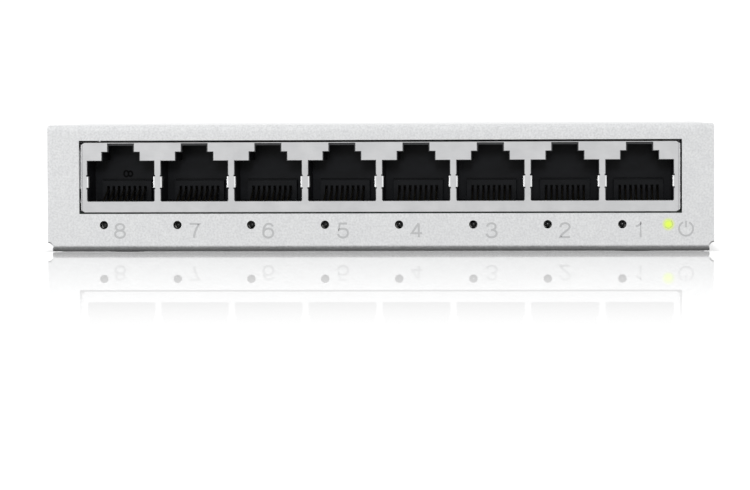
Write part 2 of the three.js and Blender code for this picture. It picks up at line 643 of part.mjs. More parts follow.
const SWITCH_CHIP = { x: 8, y: 12 };
place("switch_chip", chip(14, 14, 1), MATERIAL.chip, SWITCH_CHIP.x, SWITCH_CHIP.y, ON_BOARD);
place("thermal_pad", chip(13, 13, 0.4), MATERIAL.thermalPad, SWITCH_CHIP.x, SWITCH_CHIP.y, ON_BOARD + 1.05);

function heatsink() {
  const half = 11;
  const fins = 7;
  const step = (2 * half - 1) / (fins - 1);
  let sink = solid(chip(2 * half, 2 * half, 1.8));
  for (let i = 0; i < fins; i++) {
    const x = -half + i * step;
    sink = join(sink, box(x, x + 1, -half, half, 1, 8));
  }
  return sink;
}
place("heatsink", heatsink(), MATERIAL.aluminium, SWITCH_CHIP.x, SWITCH_CHIP.y, ON_BOARD + 1.5);

function crystalCan() {
  const shape = new THREE.Shape();
  shape.absarc(3.4, 0, 2.1, -Math.PI / 2, Math.PI / 2, false);
  shape.absarc(-3.4, 0, 2.1, Math.PI / 2, 1.5 * Math.PI, false);
  return prismZ(shape, 0, 3.4, 3);
}
place("crystal", crystalCan(), MATERIAL.steel, 31, 9, ON_BOARD);
place("power_regulator", chip(5, 4, 1.6), MATERIAL.chip, -36, 8, ON_BOARD);

const inductor = () => join(chip(7, 7, 1), cylinderZ(3.3, 0, 0, 0.5, 4, 16));
place("inductor", inductor(), MATERIAL.ferrite, -24, 12, ON_BOARD);

const canCapacitor = (radius, height) =>
  turned([[0, 0], [radius, 0], [radius, 1.2], [radius - 0.3, 1.5], [radius, 1.8], [radius, height], [0, height]], 14);
place("input_capacitor", canCapacitor(4, 11.5), MATERIAL.aluminium, -32, 24.5, ON_BOARD);
place("output_capacitor", canCapacitor(3.15, 8), MATERIAL.aluminium, -17, 24.5, ON_BOARD);

export default group;
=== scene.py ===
"""A small metal desktop network switch with eight RJ45 ports: fine surfaces over its CAD frame."""
import json
import math

import bmesh
import bpy
from mathutils import Matrix, Quaternion, Vector


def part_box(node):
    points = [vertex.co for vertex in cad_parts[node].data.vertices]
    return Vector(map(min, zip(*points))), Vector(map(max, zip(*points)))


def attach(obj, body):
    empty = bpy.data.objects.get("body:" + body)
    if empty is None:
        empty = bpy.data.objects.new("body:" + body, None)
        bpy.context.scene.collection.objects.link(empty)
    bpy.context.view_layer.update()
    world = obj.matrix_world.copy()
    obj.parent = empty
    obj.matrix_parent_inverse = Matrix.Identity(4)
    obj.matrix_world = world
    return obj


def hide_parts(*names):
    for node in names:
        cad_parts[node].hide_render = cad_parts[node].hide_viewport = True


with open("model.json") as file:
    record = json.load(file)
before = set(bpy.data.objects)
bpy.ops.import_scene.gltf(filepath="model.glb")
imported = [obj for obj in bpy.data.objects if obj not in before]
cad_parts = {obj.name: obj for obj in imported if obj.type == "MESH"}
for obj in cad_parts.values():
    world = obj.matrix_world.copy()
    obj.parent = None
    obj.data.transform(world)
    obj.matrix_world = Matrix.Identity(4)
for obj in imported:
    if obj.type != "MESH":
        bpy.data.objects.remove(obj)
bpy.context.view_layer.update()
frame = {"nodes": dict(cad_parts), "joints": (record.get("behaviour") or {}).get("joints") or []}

MM = 0.001
CASE_BODY = "case"
ARC_STEP = math.radians(9)  # of the folds and round outlines
ROUND_SIDES = 48
CURVE_STEPS = 14  # of the printed digits


# ---- the frame's sizes, in millimetres
def box_mm(node):
    """The lowest and highest corner of a CAD node."""
    low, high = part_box(node)
    return Vector(low) / MM, Vector(high) / MM


tray_low, tray_high = box_mm("base_tray")
SIDE, BACK, TOP = tray_high
FRONT, BOTTOM = tray_low.y, tray_low.z
SHEET = 0.8
BEND = 1.2
FIT = 0.15
FLANGE_SIDE = SIDE - SHEET - FIT

shield_low, shield_high = box_mm("jack_shield")
JACK_FRONT, JACK_BACK = shield_low.y, shield_high.y
JACK_SIDE = shield_high.x
BOARD_TOP = box_mm("circuit_board")[1].z
JACK_HEIGHT = shield_high.z - BOARD_TOP
JACK_DEPTH = JACK_BACK - JACK_FRONT
SHIELD_SHEET = 0.25

PORTS = range(1, 9)
JOINT_AT = {joint["name"]: Vector(joint["pos_m"]) / MM for joint in frame["joints"]}
PIVOT = {n: JOINT_AT[f"port_{n}_contacts_press"] for n in PORTS}
LED_RISE = 0.7  # of a lens's axis over the underside of its indicator
LED_NODES = {n: f"led_port_{n}" for n in PORTS} | {"power": "led_power"}
LED_CENTRE = {}
for key, node in LED_NODES.items():
    led_low, led_high = box_mm(node)
    LED_CENTRE[key] = Vector(((led_low.x + led_high.x) / 2, led_low.y, led_low.z + LED_RISE))

CONTACTS = 8
CONTACT_PITCH = 1.016
WINDOW = {"half": 56.8, "low": 7.2, "high": 21.05}
# A port's stepped outline, in the plated shell and in the black body: half widths, then heights.
OPENING = {"half": 6.43, "step": 3.66, "tab": 2.55}
OPENING |= {"low": 2.02, "high": 9.78, "step_top": 11.46, "tab_top": 13.03}
CAVITY = {"half": 6.3, "step": 3.5, "tab": 2.33}
CAVITY |= {"low": 2.1, "high": 9.68, "step_top": 11.34, "tab_top": 12.62}
OPENING_CORNER = 0.2  # cut off the lower corners of the shell's openings
BEYOND = 1.0  # how far a cutting solid reaches past what it cuts


# ---- mesh helpers, all in millimetres
def arc(a, b, radius, start, end, radius_b=None):
    """Points of an arc in degrees, both ends included."""
    radius_b = radius if radius_b is None else radius_b
    steps = max(2, round(abs(math.radians(end - start)) / ARC_STEP))
    angles = (math.radians(start + (end - start) * i / steps) for i in range(steps + 1))
    return [(a + radius * math.cos(t), b + radius_b * math.sin(t)) for t in angles]


def circle(a, b, radius):
    turns = (2 * math.pi * i / ROUND_SIDES for i in range(ROUND_SIDES))
    return [(a + radius * math.cos(t), b + radius * math.sin(t)) for t in turns]


def rectangle(a0, a1, b0, b1):
    return [(a0, b0), (a1, b0), (a1, b1), (a0, b1)]


def rounded(a0, a1, b0, b1, radius):
    """A rectangle with round corners."""
    return (
        arc(a0 + radius, b0 + radius, radius, 180, 270)
        + arc(a1 - radius, b0 + radius, radius, 270, 360)
        + arc(a1 - radius, b1 - radius, radius, 0, 90)
        + arc(a0 + radius, b1 - radius, radius, 90, 180)
    )


def skinned(rings):
    """A closed solid between two rings with the same number of points."""
    bm = bmesh.new()
    first, last = ([bm.verts.new(co) for co in ring] for ring in rings)
    bm.faces.new(first)
    bm.faces.new(last)
    for i in range(len(first)):
        j = (i + 1) % len(first)
        bm.faces.new((first[i], first[j], last[j], last[i]))
    bmesh.ops.recalc_face_normals(bm, faces=bm.faces)
    return bm


def prism(outline, axis, low, high):
    """A closed prism of an outline along X, Y or Z."""
    along = "XYZ".index(axis)
    return skinned([[(*p[:along], level, *p[along:]) for p in outline] for level in (low, high)])


def tapered(front, back, y0, y1):
    """A solid between two outlines in X and Z that have the same number of points."""
    return skinned([[(a, y, b) for a, b in outline] for outline, y in ((front, y0), (back, y1))])


def block(x0, x1, y0, y1, z0, z1):
    return prism(rectangle(x0, x1, y0, y1), "Z", z0, z1)


def blocks_at(places, half, y0, y1, z0, z1):
    """A block around each x, which reaches half its width to both sides of it."""
    return [block(x - half, x + half, y0, y1, z0, z1) for x in places]


def turned(profile):
    """A solid turned about Z from (radius, z) pairs that start and end on the axis."""
    bm = bmesh.new()
    rings = []
    for radius, z in profile:
        if radius == 0:
            rings.append([bm.verts.new((0, 0, z))] * ROUND_SIDES)
        else:
            rings.append([bm.verts.new((a, b, z)) for a, b in circle(0, 0, radius)])
    for lower, upper in zip(rings, rings[1:]):
        for i in range(ROUND_SIDES):
            j = (i + 1) % ROUND_SIDES
            corners = [lower[i], lower[j], upper[j], upper[i]]
            bm.faces.new(list(dict.fromkeys(corners)))
    bmesh.ops.recalc_face_normals(bm, faces=bm.faces)
    return bm


def moved(bm, offset=(0, 0, 0), turn=0, about="X"):
    """Turns a mesh about an axis through the origin, in degrees, and then shifts it."""
    matrix = Matrix.Translation(Vector(offset)) @ Matrix.Rotation(math.radians(turn), 4, about)
    bmesh.ops.transform(bm, matrix=matrix, verts=bm.verts)
    return bm


def together(*parts):
    """One mesh that holds several separate ones."""
    whole = bmesh.new()
    for part in parts:
        mesh = bpy.data.meshes.new("part")
        part.to_mesh(mesh)
        part.free()
        whole.from_mesh(mesh)
        bpy.data.meshes.remove(mesh)
    return whole


def loose_object(name, bm):
    mesh = bpy.data.meshes.new(name)
    bm.to_mesh(mesh)
    bm.free()
    made = bpy.data.objects.new(name, mesh)
    bpy.context.scene.collection.objects.link(made)
    return made


SAME_PLACE = 1e-4  # points closer than this become one after a cut
FLAT_BELOW = math.radians(0.5)  # faces that meet at less than this angle become one


def shaped(base, *steps):
    """The base mesh with solids added or cut away in turn: each step is ("add" or "cut", meshes)."""
    target = loose_object("target", base)
    tools = []
    for action, *solids in steps:
        tool = loose_object("tool", together(*solids))
        tools.append(tool)
        modifier = target.modifiers.new("step", "BOOLEAN")
        modifier.operation = "UNION" if action == "add" else "DIFFERENCE"
        modifier.solver = "EXACT"
        modifier.object = tool
    graph = bpy.context.evaluated_depsgraph_get()
    result = bmesh.new()
    result.from_object(target, graph)
    for made in (target, *tools):
        mesh = made.data
        bpy.data.objects.remove(made)
        bpy.data.meshes.remove(mesh)
    bmesh.ops.remove_doubles(result, verts=result.verts, dist=SAME_PLACE)
    bmesh.ops.dissolve_limit(
        result, angle_limit=FLAT_BELOW, verts=result.verts, edges=result.edges, delimit={"NORMAL"}
    )
    return result


SMOOTH_BELOW = math.radians(35)  # edges between flatter faces than this are shaded smooth
SOFTENED_ABOVE = math.radians(38)  # edges sharper than this get a bevel


def piece(name, bm, material, body=CASE_BODY, replaces=(), edge=0.0):
    """Makes a mesh in millimetres into a finished piece that rides on a body."""
    bmesh.ops.transform(bm, matrix=Matrix.Scale(MM, 4), verts=bm.verts)
    made = loose_object(name, bm)
    made.data.materials.append(material)
    for polygon in made.data.polygons:
        polygon.use_smooth = True
    made.data.set_sharp_from_angle(angle=SMOOTH_BELOW)
    if edge:
        soften(made, edge)
    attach(made, body)
    if replaces:
        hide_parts(*replaces)


def soften(made, width):
    """Rounds a piece's sharp edges by a bevel of this width in millimetres."""
    bevel = made.modifiers.new("edges", "BEVEL")
    bevel.width = width * MM
    bevel.segments = 2
    bevel.limit_method = "ANGLE"
    bevel.angle_limit = SOFTENED_ABOVE
    bevel.harden_normals = True
    bevel.use_clamp_overlap = True


# ---- materials
class Tree:
    """A node tree, cleared, with short ways to add nodes to it."""

    def __init__(self, owner):
        owner.use_nodes = True
        self.tree = owner.node_tree
        self.tree.nodes.clear()

    def link(self, source, target):
        self.tree.links.new(source, target)

    def feed(self, node, inputs):
        """Sets a node's inputs, given by name or number, to values or links them to sockets."""
        for key, value in inputs.items():
            if isinstance(value, bpy.types.NodeSocket):
                self.link(value, node.inputs[key])
            else:
                node.inputs[key].default_value = value
        return node

    def new(self, kind, inputs=None):
        return self.feed(self.tree.nodes.new("ShaderNode" + kind), inputs or {})

    def maths(self, operation, *values, kind="Math", output=0):
        node = self.new(kind)
        node.operation = operation
        return self.feed(node, dict(enumerate(values))).outputs[output]

    def vector_maths(self, operation, *values, output=0):
        return self.maths(operation, *values, kind="VectorMath", output=output)

    def ranged(self, source, limits, results, interpolation="LINEAR"):
        """A value that goes from one result to the other as the source crosses the limits."""
        spread = self.new("MapRange", {"From Min": limits[0], "From Max": limits[1]})
        spread.interpolation_type = interpolation
        return self.feed(spread, {"To Min": results[0], "To Max": results[1], "Value": source}).outputs[0]


NOISE_RANGE = (0.3, 0.7)  # where nearly all values of a noise lie


class Nodes(Tree):
    """A material's node tree with short ways to add what these materials share."""

    def __init__(self, name):
        self.material = bpy.data.materials.new(name)
        super().__init__(self.material)
        self.shader = self.new("BsdfPrincipled")
        self.new("OutputMaterial", {"Surface": self.shader.outputs[0]})
        self.place = self.new("TexCoord").outputs["Object"]

    def set(self, **values):
        self.feed(self.shader, {name.replace("_", " "): value for name, value in values.items()})
        return self

    def noise(self, size_mm, detail=3, roughness=0.6, stretch=(1, 1, 1)):
        scale = [s / (size_mm * MM) for s in stretch]
        place = self.new("Mapping", {"Scale": scale, "Vector": self.place}).outputs[0]
        look = {"Scale": 1, "Detail": detail, "Roughness": roughness, "Vector": place}
        return self.new("TexNoise", look).outputs["Fac"]

    def blend_colours(self, factor, first, second, limits=NOISE_RANGE):
        """Goes from the first colour to the second as the factor crosses the limits."""
        ramp = self.new("ValToRGB", {"Fac": factor})
        for element, position, colour in zip(ramp.color_ramp.elements, limits, (first, second)):
            element.position = position
            element.color = (*colour, 1)
        return ramp.outputs["Color"]

    def mix(self, factor, first, second, kind="MIX"):
        mixer = self.new("Mix")
        mixer.data_type = "RGBA"
        mixer.blend_type = kind
        return self.feed(mixer, {0: factor, 6: first, 7: second}).outputs[2]

    def tinted_near(self, source, centre, radii, tint):
        """The colour turned to a tint around a point of the front panel, with a soft edge."""
        split = self.new("SeparateXYZ", {0: self.place}).outputs
        flat = self.new("CombineXYZ", {"X": split["X"], "Z": split["Z"]}).outputs[0]
        middle = (centre.x * MM, 0, centre.z * MM)
        distance = self.vector_maths("DISTANCE", flat, middle, output="Value")
        near = self.ranged(distance, [radius * MM for radius in radii], (1, 0), "SMOOTHERSTEP")
        front = self.maths("LESS_THAN", split["Y"], (FRONT + SHEET + 0.1) * MM)
        colour = self.new("RGB").outputs[0]
        colour.default_value = (*tint, 1)
        return self.mix(self.maths("MULTIPLY", near, front), source, colour)

    def colour(self, source):
        self.link(source, self.shader.inputs["Base Color"])
        return self

    def roughness(self, factor, low, high):
        self.link(self.ranged(factor, NOISE_RANGE, (low, high)), self.shader.inputs["Roughness"])
        return self

    def bump(self, *layers):
        """Each layer is (height socket, depth in millimetres, strength)."""
        normal = None
        for height, depth_mm, strength in layers:
            bump = self.new("Bump", {"Strength": strength, "Distance": depth_mm * MM, "Height": height})
            if normal is not None:
                self.link(normal, bump.inputs["Normal"])
            normal = bump.outputs[0]
        self.link(normal, self.shader.inputs["Normal"])
        return self


LIT_STRENGTH = 0.97  # of the lit power indicator
LIT_RADII = (0.2, 0.95)  # where its lens goes from the hot colour to the rim's
PAINTED_SPILL_RADII = (0.6, 1.5)  # where its light is painted into the coat's colour around its hole
PAINTED_SPILL_COLOUR = (0.75, 0.86, 0.26)


def painted_steel():
    """Silver-white powder coat with a fine sand texture, and the power indicator's light painted in green
    around its hole.
    """
    n = Nodes("silver_powder_coat").set(Metallic=0.7)
    sand = n.noise(0.38, 1, 0.5)
    cloud = n.noise(1.6, 2, 0.5)
    grain = n.blend_colours(sand, (0.64, 0.646, 0.65), (0.77, 0.777, 0.781))
    drift = n.blend_colours(cloud, (0.965, 0.965, 0.97), (1.0, 1.0, 1.0), (0.35, 0.65))
    coat = n.mix(1.0, grain, drift, "MULTIPLY")
    # painted light: the lit power indicator's glow is painted into the coat's colour around its hole
    n.colour(n.tinted_near(coat, LED_CENTRE["power"], PAINTED_SPILL_RADII, PAINTED_SPILL_COLOUR))
    n.roughness(sand, 0.3, 0.42)
    return n.bump((cloud, 0.02, 0.25), (sand, 0.03, 0.5)).material


def plated_sheet():
    """Tin-plated steel of the jack's shell, with a faint rolling grain along X."""
    n = Nodes("tin_plated_sheet").set(Metallic=1.0)
    grain = n.noise(0.12, 3, 0.6, (0.06, 1, 1))
    stain = n.noise(3.5, 3, 0.55)
    n.colour(n.blend_colours(stain, (0.6, 0.604, 0.612), (0.665, 0.668, 0.675)))
    n.roughness(grain, 0.42, 0.54)
    return n.bump((grain, 0.004, 0.3), (stain, 0.02, 0.12)).material


def black_plastic(name, tone, low=0.38, high=0.55, depth=0.01, specular=0.5):
    """Moulded plastic with a fine eroded surface."""
    n = Nodes(name).set(Metallic=0.0, Specular_IOR_Level=specular)
    erosion = n.noise(0.09, 3, 0.6)
    flow = n.noise(4.0, 2, 0.5, (1, 1, 2))
    n.colour(n.blend_colours(flow, tuple(0.8 * t for t in tone), tuple(1.25 * t for t in tone)))
    n.roughness(erosion, low, high)
    return n.bump((erosion, depth, 0.35)).material


def metal(name, dark, light, low, high, grain_mm=0.15, stretch=(1, 1, 1)):
    """Bare or plated metal with a worked surface."""
    n = Nodes(name).set(Metallic=1.0)
    grain = n.noise(grain_mm, 3, 0.6, stretch)
    stain = n.noise(2.0, 3, 0.6)
    n.colour(n.blend_colours(stain, dark, light))
    n.roughness(grain, low, high)
    return n.bump((grain, 0.004, 0.3)).material


def rubber_material():
    n = Nodes("foot_rubber").set(Metallic=0.0, Specular_IOR_Level=0.3)
    crumb = n.noise(0.15, 4, 0.65)
    n.colour(n.blend_colours(crumb, (0.018, 0.018, 0.018), (0.035, 0.035, 0.034)))
    n.roughness(crumb, 0.7, 0.9)
    return n.bump((crumb, 0.03, 0.5)).material


def ink_material():
    """Light grey screen print."""
    n = Nodes("grey_screen_print").set(Metallic=0.65)
    speck = n.noise(0.2, 3, 0.6)
    n.colour(n.blend_colours(speck, (0.47, 0.475, 0.48), (0.545, 0.55, 0.555)))
    n.roughness(speck, 0.35, 0.45)
    return n.bump((speck, 0.01, 0.3)).material


def board_material():
    """Dark green solder mask over a faint pattern of copper tracks."""
    n = Nodes("dark_green_solder_mask").set(Metallic=0.0, Coat_Weight=0.3, Coat_Roughness=0.2)
    weave = n.noise(0.4, 3, 0.6)
    tracks = n.noise(1.1, 0, 0.5, (1, 3, 1))
    n.colour(n.blend_colours(tracks, (0.004, 0.018, 0.009), (0.007, 0.034, 0.016), (0.49, 0.51)))
    n.roughness(weave, 0.35, 0.5)
    return n.bump((tracks, 0.03, 0.4), (weave, 0.008, 0.3)).material


def lens_material(name, tint):
    """Cast epoxy of an unlit indicator."""
    n = Nodes(name).set(Metallic=0.0, IOR=1.5, Transmission_Weight=0.5)
    cast = n.noise(0.3, 2, 0.5)
    n.colour(n.blend_colours(cast, tuple(0.85 * t for t in tint), tint))
    n.roughness(cast, 0.08, 0.16)
    return n.bump((cast, 0.01, 0.15)).material


def lit_material():
    """The lit power indicator, hotter in the middle of its lens."""
    n = Nodes("lit_lens").set(Metallic=0.0, Emission_Strength=LIT_STRENGTH)
    cast = n.noise(0.4, 2, 0.5)
    rim = n.blend_colours(cast, (0.6, 0.74, 0.26), (0.68, 0.8, 0.32))
    glow = n.tinted_near(rim, LED_CENTRE["power"], LIT_RADII, (0.74, 0.95, 0.09))
    n.colour(n.mix(1.0, glow, n.blend_colours(cast, (0.08, 0.08, 0.08), (0.1, 0.1, 0.1)), "MULTIPLY"))
    n.link(glow, n.shader.inputs["Emission Color"])
    n.roughness(cast, 0.15, 0.3)
    return n.material


paint = painted_steel()
plate = plated_sheet()
# a lighter copy of the shell's tin plate: painted highlight on the grounding fingers, which catch the light
tin_plate_painted_highlight = metal("tin_plate_with_painted_highlight", (0.82, 0.825, 0.83), (0.88, 0.883, 0.885), 0.35, 0.45, 0.12)
jack_black = black_plastic("jack_black_plastic", (0.009, 0.0096, 0.0112), 0.3, 0.4, 0.01, 0.12)
# a lighter copy of the jack's black plastic: painted highlight on the port rims, where their front edges
# catch the light
rim_black_painted_highlight = black_plastic("black_plastic_painted_highlight", (0.042, 0.043, 0.045), 0.4, 0.5, 0.01, 0.3)
guard_black = black_plastic("guard_black_plastic", (0.006, 0.006, 0.006), 0.6, 0.8, 0.01, 0.15)
inlet_black = black_plastic("inlet_black_plastic", (0.02, 0.02, 0.021), 0.3, 0.45)
# a darker black than the jack's body, for the mould mark
mark_black = black_plastic("darker_black_plastic", (0.0015, 0.0015, 0.0016), 0.5, 0.65, 0.01, 0.05)
lens_case = black_plastic("indicator_case", (0.3, 0.3, 0.29), 0.4, 0.55)
chip_black = black_plastic("moulded_epoxy", (0.028, 0.028, 0.03), 0.5, 0.7, 0.02)
# gold plate darkened far below real gold: painted shade of the deep ports the contacts sit in
gold_painted_shade = metal("contact_gold_plate_painted_shade", (0.16, 0.128, 0.07), (0.23, 0.185, 0.105), 0.25, 0.4, 0.1)
steel = metal("zinc_plated_steel", (0.55, 0.55, 0.57), (0.68, 0.68, 0.69), 0.25, 0.4)
brass = metal("turned_brass", (0.6, 0.44, 0.2), (0.74, 0.57, 0.3), 0.25, 0.4)
nickel = metal("nickel_plate", (0.62, 0.6, 0.56), (0.74, 0.72, 0.68), 0.12, 0.25, 0.08)
aluminium = metal("extruded_aluminium", (0.5, 0.5, 0.51), (0.62, 0.62, 0.63), 0.35, 0.5, 0.12, (1, 0.05, 1))
can_metal = metal("plated_can", (0.58, 0.58, 0.6), (0.7, 0.7, 0.72), 0.2, 0.35)
ferrite = black_plastic("pressed_ferrite", (0.07, 0.07, 0.075), 0.6, 0.8, 0.03)
pad_silicone = black_plastic("thermal_silicone", (0.3, 0.36, 0.44), 0.75, 0.9, 0.02)
rubber = rubber_material()
ink = ink_material()
board_green = board_material()
clear_lens = lens_material("clear_lens", (0.06, 0.062, 0.062))
lit_lens = lit_material()


# ---- case
LIP = 6.0  # depth of the fold at the top of the front panel
FLANGE_TOP = 9.0
NOTCH = {"radius": 0.85, "rise": 0.8, "rim": 0.2}  # corner relief of the folds, with a worn rim
LIP_CORNER = 0.5
FLANGE_GAP = 0.9  # between the side flanges and the folds of the front and back
HOLE_RADIUS = 0.79  # of the indicator holes
SCREW_Y, SCREW_Z = 22.0, 12.0
EAR = {"half": 4.5, "above": 3.6, "hole": 1.5}  # around a cover screw
FEET = {
    f"{row}_{column}": (x, y)
    for row, y in (("front", -25), ("back", 25))
    for column, x in (("left", -48), ("right", 48))
}
FOOT_RECESS = {"radius": 4.4, "depth": 0.8}
KEYHOLE = {"x": 40.0, "y": 3.0, "head": 3.75, "slot": 1.9, "length": 7.5}
INLET_LOW, INLET_HIGH = box_mm("dc_inlet_body")
INLET_X = (INLET_LOW.x + INLET_HIGH.x) / 2
INLET_HOLE = {"half": 4.7, "under_board": 0.15, "height": 11.4, "corner": 0.3}
INLET_AXIS = 6.5  # over the board
LOCK_SLOT = {"left": 36.5, "right": 43.5, "low": 11, "high": 14, "corner": 0.5}


def mirrored(side, a, b):
    """The two X limits side * a and side * b, the lower first."""
    return sorted((side * a, side * b))


def tray_strip():
    """Side outline of the folded strip: front lip, front panel, bottom and back panel."""
    inner = BEND - SHEET
    back_top = TOP - SHEET - FIT
    return (
        [(FRONT + LIP, TOP)]
        + arc(FRONT + BEND, TOP - BEND, BEND, 90, 180)
        + arc(FRONT + BEND, BOTTOM + BEND, BEND, 180, 270)
        + arc(BACK - BEND, BOTTOM + BEND, BEND, 270, 360)
        + [(BACK, back_top), (BACK - SHEET, back_top)]
        + arc(BACK - BEND, BOTTOM + BEND, inner, 360, 270)
        + arc(FRONT + BEND, BOTTOM + BEND, inner, 270, 180)
        + arc(FRONT + BEND, TOP - BEND, inner, 180, 90)
        + [(FRONT + LIP, TOP - SHEET)]
    )


def notch_outline(side, wider):
    """The relief notch at a lower corner of the front panel: straight sides and a round end."""
    r = NOTCH["radius"] + wider
    low, centre = BOTTOM - BEYOND, BOTTOM + NOTCH["rise"]
    outline = [(SIDE + BEYOND, low), (SIDE + BEYOND, centre + r)] + arc(SIDE, centre, r, 90, 180)
    return [(side * a, b) for a, b in outline + [(SIDE - r, low)]]


def side_flange(side, top, y0, y1):
    inner = BEND - SHEET
    outline = (
        arc(FLANGE_SIDE - BEND, BOTTOM + BEND, BEND, 270, 360)
        + [(FLANGE_SIDE, top), (FLANGE_SIDE - SHEET, top)]
        + arc(FLANGE_SIDE - BEND, BOTTOM + BEND, inner, 360, 270)
    )
    return prism([(side * a, b) for a, b in outline], "Y", y0, y1)


def keyhole_outline(x):
    """A round head hole with a slot towards the front, as one outline."""
    spread = math.degrees(math.asin(KEYHOLE["slot"] / KEYHOLE["head"]))
    return arc(x, KEYHOLE["y"], KEYHOLE["head"], -90 + spread, 270 - spread) + arc(
        x, KEYHOLE["y"] - KEYHOLE["length"], KEYHOLE["slot"], 180, 360
    )


def make_tray():
    flange_end = BACK - BEND - FLANGE_GAP
    through_front = (FRONT - BEYOND, FRONT + SHEET + BEYOND)
    through_back = (BACK - SHEET - BEYOND, BACK + BEYOND)
    through_floor = (BOTTOM - BEYOND, BOTTOM + SHEET + BEYOND)
    outside, above, below = SIDE + BEYOND, TOP + BEYOND, BOTTOM - BEYOND
    window = prism(
        rectangle(-WINDOW["half"], WINDOW["half"], WINDOW["low"], WINDOW["high"]), "Y", *through_front
    )
    holes = [prism(circle(c.x, c.z, HOLE_RADIUS), "Y", *through_front) for c in LED_CENTRE.values()]
    half, low = INLET_HOLE["half"], BOARD_TOP - INLET_HOLE["under_board"]
    high = low + INLET_HOLE["height"]
    inlet = rounded(INLET_X - half, INLET_X + half, low, high, INLET_HOLE["corner"])
    back_holes = [prism(outline, "Y", *through_back) for outline in (inlet, rounded(*LOCK_SLOT.values()))]
    spare, notches, rims, corners, folds, flanges, ears, ear_holes = ([] for _ in range(8))
    for side in (-1, 1):
        beside_flange = mirrored(side, FLANGE_SIDE, outside)
        spare.append(block(*beside_flange, FRONT + BEND, BACK + BEYOND, below, TOP - SHEET - FIT / 2))
        wide, narrow = notch_outline(side, NOTCH["rim"]), notch_outline(side, 0)
        notches.append(prism(narrow, "Y", FRONT - BEYOND, FRONT + BEND + BEYOND))
        rims.append(tapered(wide, narrow, FRONT, FRONT + NOTCH["rim"]))
        corner = [(outside, above), (SIDE - LIP_CORNER, above)]
        corner += arc(SIDE - LIP_CORNER, TOP - LIP_CORNER, LIP_CORNER, 90, 0)
        corner += [(outside, TOP - LIP_CORNER)]
        corner = [(side * a, b) for a, b in corner]
        corners.append(prism(corner, "Y", FRONT - BEYOND, FRONT + LIP + BEYOND))
        fold_side = mirrored(side, FLANGE_SIDE - BEND, outside)
        folds.append(block(*fold_side, -flange_end, flange_end, below, BOTTOM + BEND))
        flanges.append(side_flange(side, FLANGE_TOP, -flange_end, flange_end))
        ears.append(side_flange(side, SCREW_Z + EAR["above"], SCREW_Y - EAR["half"], SCREW_Y + EAR["half"]))
        ear_hole = circle(SCREW_Y, SCREW_Z, EAR["hole"])
        ear_holes.append(prism(ear_hole, "X", *mirrored(side, SIDE - 4, outside)))
    keyholes = [prism(keyhole_outline(side * KEYHOLE["x"]), "Z", *through_floor) for side in (-1, 1)]
    ceiling = BOTTOM + FOOT_RECESS["depth"]
    wall = FOOT_RECESS["radius"] + SHEET
    boss = [(0, BOTTOM + 0.1), (wall + 0.4, BOTTOM + 0.1), (wall + 0.3, BOTTOM + SHEET + 0.1)]
    boss += [(wall - 0.1, ceiling + SHEET - 0.2), (wall - 0.4, ceiling + SHEET), (0, ceiling + SHEET)]
    bosses = [moved(turned(boss), (x, y, 0)) for x, y in FEET.values()]
    recesses = [prism(circle(x, y, FOOT_RECESS["radius"]), "Z", below, ceiling) for x, y in FEET.values()]
    body = shaped(
        prism(tray_strip(), "X", -SIDE, SIDE),
        ("cut", window, *holes, *back_holes, *spare),
        ("cut", *notches, *corners),
        ("cut", *rims),
        ("cut", *folds),
        ("add", *flanges),
        ("add", *ears),
        ("add", *bosses),
        ("cut", *ear_holes, *keyholes, *recesses),
    )
    piece("tray", body, paint, replaces=["base_tray"], edge=0.06)


VENTS = {"count": 9, "pitch": 4.0, "first": -20.0, "low": 11.0, "high": 19.5, "radius": 0.9}
TONGUE = {"x": 36, "half": 8, "length": 4}  # slides under the tray's lip


def make_cover():
    front_edge = FRONT + LIP + FIT
    side_front = FRONT + SHEET + FIT
    low = box_mm("top_cover")[0].z
    inner = BEND - SHEET
    section = (
        [(SIDE, low)]
        + arc(SIDE - BEND, TOP - BEND, BEND, 0, 90)
        + arc(-SIDE + BEND, TOP - BEND, BEND, 90, 180)
        + [(-SIDE, low), (-SIDE + SHEET, low)]
        + arc(-SIDE + BEND, TOP - BEND, inner, 180, 90)
        + arc(SIDE - BEND, TOP - BEND, inner, 90, 0)
        + [(SIDE - SHEET, low)]
    )
    under_sheet = TOP - SHEET - FIT
    head_room = block(
        -SIDE - BEYOND, SIDE + BEYOND, side_front - BEYOND, front_edge, under_sheet, TOP + BEYOND
    )
    under = TOP - 2 * SHEET - FIT
    profile = [(front_edge - TONGUE["length"], under), (front_edge + 2, under)]
    profile += [(front_edge + 2, TOP - SHEET / 2), (front_edge + 1, TOP - SHEET / 2)]
    profile += [(front_edge + 0.7, under + SHEET), (front_edge - TONGUE["length"], under + SHEET)]
    tongues = [
        prism(profile, "X", x - TONGUE["half"], x + TONGUE["half"]) for x in (-TONGUE["x"], TONGUE["x"])
    ]
    slots = []
    for i in range(VENTS["count"]):
        y = VENTS["first"] + i * VENTS["pitch"]
        r = VENTS["radius"]
        outline = arc(y, VENTS["high"] - r, r, 0, 180) + arc(y, VENTS["low"] + r, r, 180, 360)
        slots.append(prism(outline, "X", -SIDE - BEYOND, SIDE + BEYOND))
    sinks = []
    for side in (-1, 1):
        cone = turned([(0, -0.9), (1.9, -0.9), (2.95, 0.1), (2.95, 0.6), (0, 0.6)])
        sinks.append(moved(cone, (side * SIDE, SCREW_Y, SCREW_Z), 90 * side, "Y"))
    body = shaped(
        prism(section, "Y", side_front, BACK),
        ("cut", head_room),
        ("add", *tongues),
        ("cut", *slots, *sinks),
    )
    piece("cover", body, paint, replaces=["top_cover"], edge=0.09)


